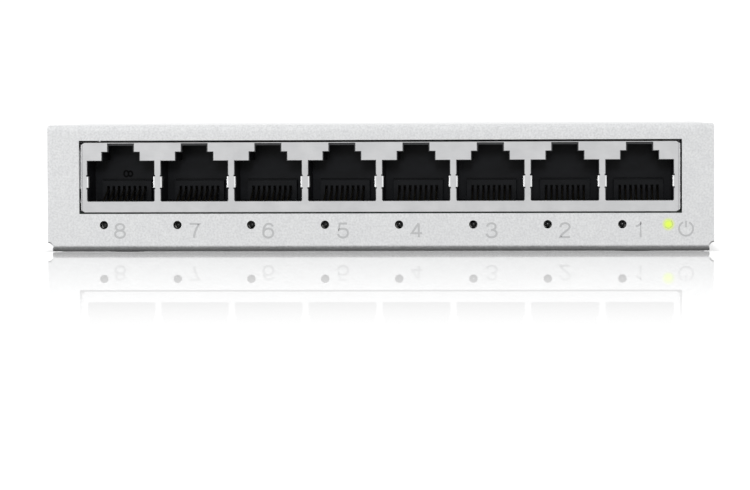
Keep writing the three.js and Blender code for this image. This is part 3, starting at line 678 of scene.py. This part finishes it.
def flat_screw():
    """Countersunk screw with its face at z = 0, and a cross recess."""
    body = turned(
        [(0, -5), (1.05, -5), (1.3, -4.7), (1.3, -0.9), (2.42, -0.18), (2.5, -0.08), (2.44, 0), (0, 0.06)]
    )
    cross = [(1.5, 0.28), (0.28, 0.28), (0.28, 1.5)]
    outline = []
    for quarter in range(4):
        c, s = math.cos(math.pi / 2 * quarter), math.sin(math.pi / 2 * quarter)
        outline += [(c * a - s * b, s * a + c * b) for a, b in cross]
    return shaped(body, ("cut", prism(outline, "Z", -0.6, 1)))


def make_cover_screws():
    for name, side in (("left", -1), ("right", 1)):
        node = f"cover_screw_{name}"
        screw = moved(flat_screw(), (side * SIDE, SCREW_Y, SCREW_Z), 90 * side, "Y")
        piece(f"{node}_fine", screw, steel, replaces=[node], edge=0.04)


def make_feet():
    for place, (x, y) in FEET.items():
        node = f"rubber_foot_{place}"
        low, high = box_mm(node)
        profile = [(0, 0), (3.5, 0), (3.8, 0.02), (3.94, 0.08), (3.99, 0.2), (3.99, high.z), (0, high.z)]
        pad = moved(turned(profile), (x, y, low.z))
        piece(f"foot_pad_{place}", pad, rubber, replaces=[node])


# ---- eight-port jack
def in_jack(bm):
    """From the jack's own frame, y = 0 on its face and z = 0 on the board, to the switch's."""
    return moved(bm, (0, JACK_FRONT, BOARD_TOP))


def port_outline(size, corner, x=0.0):
    half, step, tab = size["half"], size["step"], size["tab"]
    right = [(half - corner, size["low"]), (half, size["low"] + corner), (half, size["high"])]
    right += [(step, size["high"]), (step, size["step_top"])]
    right += [(tab, size["step_top"]), (tab, size["tab_top"])]
    return [(x + a, b) for a, b in right] + [(x - a, b) for a, b in reversed(right)]


FINGER = {"low": 4.66, "high": 6.76, "relief": 0.3, "play": 0.17}


def finger(side, x):
    """A sprung grounding finger: a tongue of the face, folded into the port and bowed a little."""
    root = OPENING["half"] + 0.06
    reach = OPENING["half"] - 0.26
    sheet = 0.12
    outline = [(root, 0.01), (reach + 0.05, 0.01), (reach, 0.06)]
    outline += [(reach - 0.04, 0.7), (reach - 0.05, 1.2), (reach, 1.8), (reach + 0.18, 2.5)]
    outline += [(reach + 0.3, 2.5), (reach + sheet, 1.8), (reach + sheet - 0.05, 1.2), (reach + sheet, 0.24)]
    outline += [(root, 0.24)]
    return prism([(x + side * a, b) for a, b in outline], "Z", FINGER["low"], FINGER["high"])


def finger_gaps(x):
    """Room for the grounding fingers on both sides of a port."""
    inner, outer = CAVITY["half"] - 0.5, OPENING["half"] + 0.1
    low, high = FINGER["low"] - FINGER["play"], FINGER["high"] + FINGER["play"]
    return [block(*sorted((x + side * inner, x + side * outer)), -1, 2.6, low, high) for side in (-1, 1)]


def make_shield():
    fold = 0.26
    clip = 0.78  # the cut corners of the face
    through = (-BEYOND, 0.6)

    def plan(inset):
        r = fold - inset
        x = JACK_SIDE - inset
        return (
            [(-x, JACK_DEPTH - inset)]
            + arc(-x + r, inset + r, r, 180, 270)
            + arc(x - r, inset + r, r, 270, 360)
            + [(x, JACK_DEPTH - inset)]
        )

    inside = prism(plan(SHIELD_SHEET), "Z", -1, JACK_HEIGHT - SHIELD_SHEET)
    openings, reliefs, fingers, clips, seams = ([] for _ in range(5))
    for n in PORTS:
        x = PIVOT[n].x
        openings.append(prism(port_outline(OPENING, OPENING_CORNER, x), "Y", *through))
        for side in (-1, 1):
            edge = x + side * OPENING["half"]
            span = sorted((edge - side * 0.3, edge + side * 0.12))
            for low in (FINGER["low"] - FINGER["relief"], FINGER["high"]):
                reliefs.append(prism(rectangle(*span, low, low + FINGER["relief"]), "Y", *through))
            fingers.append(finger(side, x))
    for side in (-1, 1):
        for z, away in ((0.0, -1), (JACK_HEIGHT, 1)):
            cut = z - away * clip * 0.6
            corner = [(JACK_SIDE - clip, z + away), (JACK_SIDE - clip, z), (JACK_SIDE, cut)]
            corner += [(JACK_SIDE + 1, cut), (JACK_SIDE + 1, z + away)]
            clips.append(prism([(side * a, b) for a, b in corner], "Y", -1, 0.9))
        span = mirrored(side, JACK_SIDE - 0.33, JACK_SIDE - 0.37)
        seams.append(block(*span, -1, SHIELD_SHEET + 0.1, 0.02, JACK_HEIGHT + 0.02))
    body = shaped(
        prism(plan(0), "Z", 0.02, JACK_HEIGHT),
        ("cut", inside),
        ("cut", *openings),
        ("cut", *reliefs, *clips),
        ("cut", *seams),
    )
    piece("jack_shell", in_jack(body), plate, replaces=["jack_shield"], edge=0.03)
    # The fingers take the lighter tin: painted highlight.
    piece("jack_grounding_fingers", in_jack(together(*fingers)), tin_plate_painted_highlight, edge=0.02)


COMB_BACK = 11.0  # the back wall of a port
FACE_DEPTH = 2.7  # of the straight part behind a port's edge
PEG_X, PEG_Y = 48.9, 8.5
# Blocks around a port or a contact: half width, front, back, low and high.
HOLLOW = (CAVITY["half"], FACE_DEPTH - 0.1, COMB_BACK, CAVITY["low"], CAVITY["high"])
LATCH_HOLLOW = (CAVITY["step"], FACE_DEPTH - 0.1, COMB_BACK, CAVITY["high"] - 0.1, CAVITY["tab_top"])
WIRE_TROUGH = (4.4, 0.7, 5.4, 0.75, CAVITY["low"] + 0.1)
WIRE_STRIP = (4.25, 1.2, JACK_DEPTH, 0.25, 0.76)
CARRIER_ROOM = (4.75, 12.8, JACK_DEPTH, -1, 5.65)
COMB_GROOVE = (4.82, COMB_BACK - 0.1, COMB_BACK + 0.5, CAVITY["low"], 6.1)
COMB = (4.7, 9.0, COMB_BACK + 0.6, CAVITY["low"] - 0.1, 5.8)
COMB_SLOT = (0.27, 8.5, 10.8, CAVITY["low"] - 0.01, 4.8)


def contact_x(n, i):
    return PIVOT[n].x + (i - (CONTACTS - 1) / 2) * CONTACT_PITCH


def make_housing():
    ports = [PIVOT[n].x for n in PORTS]
    contacts = [contact_x(n, i) for n in PORTS for i in range(CONTACTS)]
    half = JACK_SIDE - SHIELD_SHEET - 0.1
    front, back = SHIELD_SHEET + 0.05, JACK_DEPTH - SHIELD_SHEET - 0.1
    top = JACK_HEIGHT - SHIELD_SHEET - 0.05
    peg = [(0, -2.6), (1.3, -2.6), (1.55, -2.2), (1.55, 0.3), (0, 0.3)]
    lug = [(0.02, 0.02), (0.74, 0.02), (0.46, 0.36), (0.38, 0.34), (0.02, 0.42)]
    lugs = [
        prism([(side * (JACK_SIDE - a), z + away * b) for a, b in lug], "Y", 0.35, 0.88)
        for side in (-1, 1)
        for z, away in ((0.0, 1), (JACK_HEIGHT, -1))
    ]
    body = shaped(
        block(-half, half, front, back, 0.05, top),
        ("add", *lugs),
        ("cut", *(prism(port_outline(CAVITY, 0.0, x), "Y", -1, FACE_DEPTH) for x in ports)),
        ("cut", *blocks_at(ports, *HOLLOW)),
        ("cut", *blocks_at(ports, *LATCH_HOLLOW)),
        ("cut", *blocks_at(ports, *WIRE_TROUGH)),
        ("cut", *blocks_at(ports, *WIRE_STRIP)),
        ("cut", *blocks_at(ports, *CARRIER_ROOM), *(gap for x in ports for gap in finger_gaps(x))),
        ("cut", *blocks_at(ports, *COMB_GROOVE)),
        ("add", *blocks_at(ports, *COMB)),
        ("cut", *blocks_at(contacts, *COMB_SLOT)),
        ("add", *(moved(turned(peg), (x, PEG_Y, 0)) for x in (-PEG_X, PEG_X))),
    )
    piece("jack_body", in_jack(body), jack_black, replaces=["jack_housing"], edge=0.05)
    # The rims take the lighter black: painted highlight where the ports' front edges catch the light.
    rims = [
        shaped(
            prism(port_outline(OPENING, OPENING_CORNER, x), "Y", 0.26, 0.58),
            ("cut", prism(port_outline(CAVITY, 0.0, x), "Y", 0, 1)),
            ("cut", *finger_gaps(x)),
        )
        for x in ports
    ]
    piece("jack_port_rims", in_jack(together(*rims)), rim_black_painted_highlight)


def make_springs():
    """Each port's eight flat wires, turned back over the front lip and rising to the comb."""
    bend, thick, wide, slope, length = 0.45, 0.28, 0.3, 17, 8.7
    outer, inner, end = bend + thick / 2, bend - thick / 2, length - 0.14
    lean = math.radians(slope)

    def away(radius, along):
        return (
            -radius * math.sin(lean) + along * math.cos(lean),
            radius * math.cos(lean) + along * math.sin(lean),
        )

    outline = (
        [away(bend + 0.05, length), away(outer, end)]
        + arc(0, 0, outer, 90 + slope, 270)
        + arc(0, 0, inner, 270, 90 + slope)
        + [away(inner, end), away(bend - 0.05, length)]
    )
    for n in PORTS:
        centres = [contact_x(n, i) for i in range(CONTACTS)]
        wires = together(*(prism(outline, "X", c - wide / 2, c + wide / 2) for c in centres))
        # The wires take the darkened gold: painted shade.
        piece(
            f"port_{n}_wires",
            moved(wires, (0, PIVOT[n].y, PIVOT[n].z)),
            gold_painted_shade,
            body=f"port_{n}_contacts",
            replaces=[f"port_{n}_contact_springs"],
            edge=0.05,
        )


# ---- indicators
LENS_RADIUS, LIT_LENS_RADIUS = 0.55, 0.76
LED_CASE_DEPTH = 1.6
GUARD_BORE = 0.85


def make_indicators():
    for key, centre in LED_CENTRE.items():
        node = LED_NODES[key]
        low, high = box_mm(node)
        lit = key == "power"
        r = LIT_LENS_RADIUS if lit else LENS_RADIUS
        root = high.y - LED_CASE_DEPTH
        reach = root - low.y
        profile = [(0, -0.4), (r, -0.4), (r, reach - 0.5), (0.94 * r, reach - 0.3)]
        profile += [(0.76 * r, reach - 0.14), (0.45 * r, reach - 0.04), (0, reach)]
        dome = moved(turned(profile), (centre.x, root, centre.z), 90, "X")
        piece(f"{node}_lens", dome, lit_lens if lit else clear_lens, replaces=[node])
        case = block(low.x, high.x, root, high.y, low.z, high.z)
        piece(f"{node}_case", case, lens_case, edge=0.08)


def make_light_guard():
    low, high = box_mm("led_light_guard")
    through = (low.y - BEYOND, high.y + BEYOND)
    bores = [prism(circle(c.x, c.z, GUARD_BORE), "Y", *through) for c in LED_CENTRE.values()]
    body = shaped(block(low.x, high.x, low.y, high.y, low.z, high.z), ("cut", *bores))
    piece("light_guard", body, guard_black, replaces=["led_light_guard"], edge=0.06)


# ---- printed numbers and power symbol
STROKE = 0.38
STROKE_STEP = 0.003  # between the faces of strokes that cross
PRINT_THICK = 0.02
PRINT_SUNK = 0.01
DIGIT_Z = 4.0
DIGIT_SHIFT = {1: -0.15, 3: 0.2, 4: 0.12, 5: 0.15, 8: -0.2}  # the digits are set from their left edges
POWER_SYMBOL = {"shift": 3.27, "z": 4.23, "stroke": 0.34, "radius": 1.31, "gap": 25}
MOULD_MARK = {"stroke": 0.3, "scale": 0.62, "z": 7.1, "proud": 0.03, "sunk": 0.05}


def curve_points(*controls):
    """Points of joined cubic curves: a start and then three controls for each curve."""
    points = [controls[0]]
    for k in range(1, len(controls), 3):
        p0, p1, p2, p3 = (Vector(p) for p in (controls[k - 1], *controls[k : k + 3]))
        for i in range(1, CURVE_STEPS + 1):
            t = i / CURVE_STEPS
            p = (1 - t) ** 3 * p0 + 3 * t * (1 - t) ** 2 * p1 + 3 * t * t * (1 - t) * p2 + t**3 * p3
            points.append(tuple(p))
    return points


def oval(a, b, radius_a, radius_b):
    return arc(a, b, radius_a, 0, 360, radius_b)


DIGITS = {
    1: [curve_points((-0.6, 0.72), (-0.15, 0.78), (0.25, 0.98), (0.32, 1.31)) + [(0.32, -1.31)]],
    2: [
        curve_points(
            (-0.86, 0.55), (-0.86, 1.02), (-0.5, 1.31), (0.0, 1.31), (0.5, 1.31), (0.86, 1.02), (0.86, 0.6),
            (0.86, 0.05), (-0.62, -0.5), (-0.9, -1.31),
        )
        + [(0.93, -1.31)]
    ],
    3: [
        curve_points(
            (-0.84, 0.7), (-0.8, 1.08), (-0.45, 1.31), (0.0, 1.31), (0.45, 1.31), (0.76, 1.05), (0.76, 0.7),
            (0.76, 0.3), (0.45, 0.08), (-0.12, 0.08),
        ),
        curve_points(
            (-0.12, 0.08), (0.55, 0.08), (0.93, -0.2), (0.93, -0.6), (0.93, -1.02), (0.52, -1.31),
            (0.0, -1.31), (-0.5, -1.31), (-0.88, -1.08), (-0.93, -0.66),
        ),
    ],
    4: [[(0.3, 1.31), (-0.95, -0.52), (0.98, -0.52)], [(0.36, -1.31), (0.36, 1.31)]],
    5: [
        [(0.78, 1.31), (-0.62, 1.31)]
        + curve_points(
            (-0.78, 0.1), (-0.45, 0.44), (0.93, 0.55), (0.93, -0.42), (0.93, -1.0), (0.52, -1.31),
            (0.0, -1.31), (-0.5, -1.31), (-0.88, -1.06), (-0.93, -0.64),
        )
    ],
    6: [
        oval(0, -0.46, 0.93, 0.85),
        curve_points(
            (-0.93, -0.42), (-0.93, 0.85), (-0.45, 1.31), (0.12, 1.31), (0.48, 1.31), (0.74, 1.12),
            (0.82, 0.78),
        ),
    ],
    7: [
        [(-0.93, 1.31), (0.93, 1.31)]
        + curve_points((0.93, 1.31), (0.35, 0.6), (0.0, -0.3), (-0.12, -1.31))[1:]
    ],
    8: [oval(0.02, 0.69, 0.79, 0.62), oval(0, -0.62, 0.93, 0.69)],
}


def ribbon(path, width, low, high, scale=1.0):
    """A flat printed stroke along a path in X and Z, from y = low to y = high."""
    points = [Vector(p) * scale for p in path]
    closed = (points[0] - points[-1]).length < 1e-6
    if closed:
        points = points[:-1]
    count = len(points)
    left, right = [], []
    for i, p in enumerate(points):
        before = points[i - 1] if i or closed else p
        after = points[(i + 1) % count] if i + 1 < count or closed else p
        ahead = (after - p).normalized() if (after - p).length > 1e-9 else (p - before).normalized()
        behind = (p - before).normalized() if (p - before).length > 1e-9 else ahead
        normal = Vector((-(ahead + behind).y, (ahead + behind).x)).normalized()
        reach = width / 2 / max(0.5, normal.dot(Vector((-ahead.y, ahead.x))))
        left.append(p + normal * reach)
        right.append(p - normal * reach)
    bm = bmesh.new()
    rows = []
    for l, r in zip(left, right):
        rows.append([bm.verts.new((q.x, y, q.y)) for q, y in ((l, low), (r, low), (r, high), (l, high))])
    for a, b in zip(rows, rows[1:] + rows[:1] if closed else rows[1:]):
        for k in range(4):
            bm.faces.new((a[k], a[(k + 1) % 4], b[(k + 1) % 4], b[k]))
    if not closed:
        bm.faces.new(rows[0])
        bm.faces.new(rows[-1])
    bmesh.ops.recalc_face_normals(bm, faces=bm.faces)
    return bm


def digit_strokes(n, stroke, low, high, scale=1.0):
    """A digit's strokes as one mesh. Each stands a little prouder than the one before it."""
    paths = enumerate(DIGITS[n])
    return together(*(ribbon(path, stroke, low - STROKE_STEP * i, high, scale) for i, path in paths))


def make_print():
    low, high = FRONT - PRINT_THICK, FRONT + PRINT_SUNK
    for n in PORTS:
        place = (PIVOT[n].x + DIGIT_SHIFT.get(n, 0), 0, DIGIT_Z)
        piece(f"print_port_number_{n}", moved(digit_strokes(n, STROKE, low, high), place), ink)
    gap, stroke = POWER_SYMBOL["gap"], POWER_SYMBOL["stroke"]
    ring = ribbon(arc(0, 0, POWER_SYMBOL["radius"], 90 + gap, 450 - gap), stroke, low, high)
    bar = ribbon([(0, 1.47), (0, 0.25)], stroke, low, high)
    place = (LED_CENTRE["power"].x + POWER_SYMBOL["shift"], 0, POWER_SYMBOL["z"])
    piece("print_power_symbol", moved(together(ring, bar), place), ink)


def make_mould_mark():
    """The cavity number of the last port, lying on its side and raised on the jack's back wall."""
    low, high = COMB_BACK - MOULD_MARK["proud"], COMB_BACK + MOULD_MARK["sunk"]
    mark = digit_strokes(8, MOULD_MARK["stroke"], low, high, MOULD_MARK["scale"])
    mark = moved(moved(mark, turn=90, about="Y"), (PIVOT[8].x, 0, MOULD_MARK["z"]))
    piece("jack_mould_mark", in_jack(mark), mark_black)


# ---- power inlet
def make_inlet():
    low, high, x = INLET_LOW, INLET_HIGH, INLET_X
    axis_z = BOARD_TOP + INLET_AXIS
    back = high.y
    funnel = turned([(0, -10), (3.2, -10), (3.2, -0.35), (3.55, 0), (3.55, 1), (0, 1)])
    bore = moved(funnel, (x, back, axis_z), -90, "X")
    slot = block(x - 1.7, x + 1.7, back - 9.6, back - 1.2, BOARD_TOP + 1.6, axis_z - 2)
    pin_seat = prism(circle(x, axis_z, 1.05), "Y", back - 13, back - 9)
    body = shaped(
        block(low.x, high.x, low.y, high.y, low.z, high.z),
        ("cut", bore),
        ("cut", slot),
        ("cut", pin_seat),
    )
    piece("inlet_socket", body, inlet_black, replaces=["dc_inlet_body"], edge=0.12)
    pin_low = box_mm("dc_inlet_pin")[0].y
    pin = turned([(0, 0), (1, 0), (1, 11.3), (0.9, 11.7), (0.6, 12.05), (0.3, 12.17), (0, 12.2)])
    pin = moved(pin, (x, pin_low, axis_z), -90, "X")
    piece("inlet_pin", pin, nickel, replaces=["dc_inlet_pin"])
    root = box_mm("dc_inlet_spring")[0]
    leaf = [(0, 0.0), (2.5, 0.28), (5.4, 0.74), (5.9, 0.78), (6.3, 0.68), (7.3, 0.12)]
    leaf += [(7.38, 0.32), (6.4, 0.9), (5.9, 1.0), (5.3, 0.96), (2.4, 0.5), (0, 0.25)]
    spring = prism([(root.y + a, root.z + b) for a, b in leaf], "X", x - 1.4, x + 1.4)
    piece("inlet_leaf_spring", spring, nickel, replaces=["dc_inlet_spring"], edge=0.04)


# ---- what stays as the frame made it
KEPT = {
    "circuit_board": board_green,
    "standoff_": brass,
    "board_screw_": steel,
    "contact_carrier": jack_black,
    "magnetics_": chip_black,
    "switch_chip": chip_black,
    "power_regulator": chip_black,
    "thermal_pad": pad_silicone,
    "heatsink": aluminium,
    "capacitor": can_metal,
    "crystal": can_metal,
    "inductor": ferrite,
}
KEPT_EDGE = 0.08


def dress_kept_nodes():
    for name, made in frame["nodes"].items():
        for part, material in KEPT.items():
            if part in name:
                made.data.materials.clear()
                made.data.materials.append(material)
                soften(made, KEPT_EDGE)


# ---- camera, floor and light
CAMERA_AT = Vector((34, FRONT - 620, 27.2))
CAMERA_AIM = Vector((-0.80, FRONT, 1.26))
CAMERA_ROLL = -0.222  # degrees
LENS_MM, SENSOR_MM = 158.44, 36
CLIP = (0.01, 500)  # metres


def make_camera():
    data = bpy.data.cameras.new("camera")
    data.lens = LENS_MM
    data.sensor_width = SENSOR_MM
    data.clip_start, data.clip_end = CLIP
    camera = bpy.data.objects.new("camera", data)
    camera.location = CAMERA_AT * MM
    camera.rotation_mode = "QUATERNION"
    level = (CAMERA_AIM - CAMERA_AT).to_track_quat("-Z", "Y")
    camera.rotation_quaternion = level @ Quaternion((0, 0, 1), math.radians(CAMERA_ROLL))
    bpy.context.scene.collection.objects.link(camera)
    bpy.context.scene.camera = camera


FLOOR_SIZE = 400.0  # metres
FLOOR_WHITE = (0.95, 0.95, 0.95, 1)
FLOOR_GLOW = 0.2  # keeps the floor white, except along the switch's footprint
CONTACT = 2  # millimetres around the switch over which the glow sets in: painted shade, a thin darker strip along its footprint
MIRROR_NEAR = 0.8  # share of the floor's mirror right at the switch
MIRROR_FADE = 0.147  # metres over which it falls to 1/e


def floor_material():
    """White gloss surface whose mirror fades with the distance from the switch."""
    material = bpy.data.materials.new("white_gloss_floor")
    t = Tree(material)
    # The distance from a point to the switch's footprint.
    size = t.vector_maths("ABSOLUTE", t.new("TexCoord").outputs["Object"])
    past = t.vector_maths("SUBTRACT", size, (SIDE * MM, BACK * MM, 0))
    flat = t.vector_maths("MULTIPLY", t.vector_maths("MAXIMUM", past, (0, 0, 0)), (1, 1, 0))
    distance = t.vector_maths("LENGTH", flat, output="Value")
    squared = t.maths("POWER", t.maths("DIVIDE", distance, MIRROR_FADE), 2)
    fade = t.maths("EXPONENT", t.maths("MULTIPLY", squared, -1))
    share = t.maths("MULTIPLY", fade, MIRROR_NEAR)
    diffuse = t.new("BsdfDiffuse", {"Color": FLOOR_WHITE}).outputs[0]
    mirror = t.new("BsdfGlossy", {"Roughness": 0.0}).outputs[0]
    surface = t.new("MixShader", {0: share, 1: diffuse, 2: mirror}).outputs[0]
    # The glow keeps out of the crack under the switch: painted shade along the switch's footprint.
    strength = t.ranged(distance, (0, CONTACT * MM), (0, FLOOR_GLOW), "SMOOTHSTEP")
    glow = t.new("Emission", {"Strength": strength}).outputs[0]
    t.new("OutputMaterial", {"Surface": t.new("AddShader", {0: surface, 1: glow}).outputs[0]})
    return material


def make_floor():
    half = FLOOR_SIZE / 2
    bm = bmesh.new()
    bm.faces.new([bm.verts.new((*corner, 0)) for corner in rectangle(-half, half, -half, half)])
    floor = loose_object("floor", bm)
    floor.data.materials.append(floor_material())
    floor.visible_diffuse = False  # the studio's dark underside keeps the lower folds dark
    floor.visible_glossy = False
    return floor


# The studio's strength by the height of a direction: 1 straight up, 0 level and -1 straight down.
GLOSS_HEIGHTS, GLOSS_HORIZON, GLOSS_ZENITH = (0.2, 0.9), 1.11, 1.02
GLOSS_DARK_HEIGHTS, GLOSS_DARK = (-0.6, -0.2), 0.05
FILL_HORIZON, FILL_ZENITH = 0.65, 1.2
FILL_DARK_HEIGHTS, FILL_DARK = (-0.25, 0.0), 0.02


def make_world():
    """A white studio, nearly black straight down. The camera and gloss see it almost even, while its
    fill light grows stronger towards overhead."""
    world = bpy.data.worlds.new("studio")
    bpy.context.scene.world = world
    t = Tree(world)
    place = t.new("TexCoord").outputs["Generated"]
    height = t.new("SeparateXYZ", {0: place}).outputs["Z"]
    white = t.ranged(height, GLOSS_HEIGHTS, (GLOSS_HORIZON, GLOSS_ZENITH), "SMOOTHSTEP")
    seen = t.maths("MULTIPLY", t.ranged(height, GLOSS_DARK_HEIGHTS, (GLOSS_DARK, 1.0), "SMOOTHSTEP"), white)
    lit = t.ranged(height, FILL_DARK_HEIGHTS, (FILL_DARK, 1.0), "SMOOTHSTEP")
    overhead = t.ranged(height, (0.0, 1.0), (0.0, 1.0))
    squared = t.maths("MULTIPLY", overhead, overhead)
    fill = t.maths("MULTIPLY", lit, t.ranged(squared, (0.0, 1.0), (FILL_HORIZON, FILL_ZENITH)))
    diffuse = t.new("LightPath").outputs["Is Diffuse Ray"]
    strength = t.new("Mix", {0: diffuse, 2: seen, 3: fill}).outputs[0]
    background = t.new("Background", {"Color": (1, 1, 1, 1), "Strength": strength})
    t.new("OutputWorld", {"Surface": background.outputs[0]})


LIGHTS_AIM = Vector((0, 0, 0.012))  # metres, the middle of the switch
# Azimuth (0 towards the camera, positive to its right) and elevation in degrees, distance and size in
# metres, power in watts, and whether gloss shows it.
SOFTBOXES = {
    "key": (1.5, 11.5, 1.5, 0.16, 9.2, False),
    "top": (0, 82, 1.2, 0.8, 0.3, False),
    "left": (-75, 15, 0.35, 0.15, 0.74, True),
    "back_left": (205, 25, 1.4, 0.6, 5, False),
    "back_right": (130, 20, 1.4, 0.6, 3.5, False),
}


def make_lights(floor):
    """Softboxes for the switch alone: the floor is lit evenly by the white studio."""
    not_floor = bpy.data.collections.new("not_on_floor")
    not_floor.objects.link(floor)
    not_floor.collection_objects[0].light_linking.link_state = "EXCLUDE"
    for name, (azimuth, elevation, distance, size, power, glossy) in SOFTBOXES.items():
        data = bpy.data.lights.new(name, "AREA")
        data.shape = "SQUARE"
        data.size = size
        data.energy = power
        light = bpy.data.objects.new(name, data)
        a, e = math.radians(azimuth), math.radians(elevation)
        back = Vector((math.sin(a) * math.cos(e), -math.cos(a) * math.cos(e), math.sin(e)))
        light.location = LIGHTS_AIM + back * distance
        light.rotation_mode = "QUATERNION"
        light.rotation_quaternion = (-back).to_track_quat("-Z", "Y")
        light.visible_camera = False
        light.visible_glossy = glossy
        light.light_linking.receiver_collection = not_floor
        bpy.context.scene.collection.objects.link(light)


make_camera()
make_world()
make_lights(make_floor())
make_tray()
make_cover()
make_cover_screws()
make_feet()
make_shield()
make_housing()
make_springs()
make_indicators()
make_light_guard()
make_print()
make_mould_mark()
make_inlet()
dress_kept_nodes()
bpy.context.scene.view_settings.view_transform = "Standard"
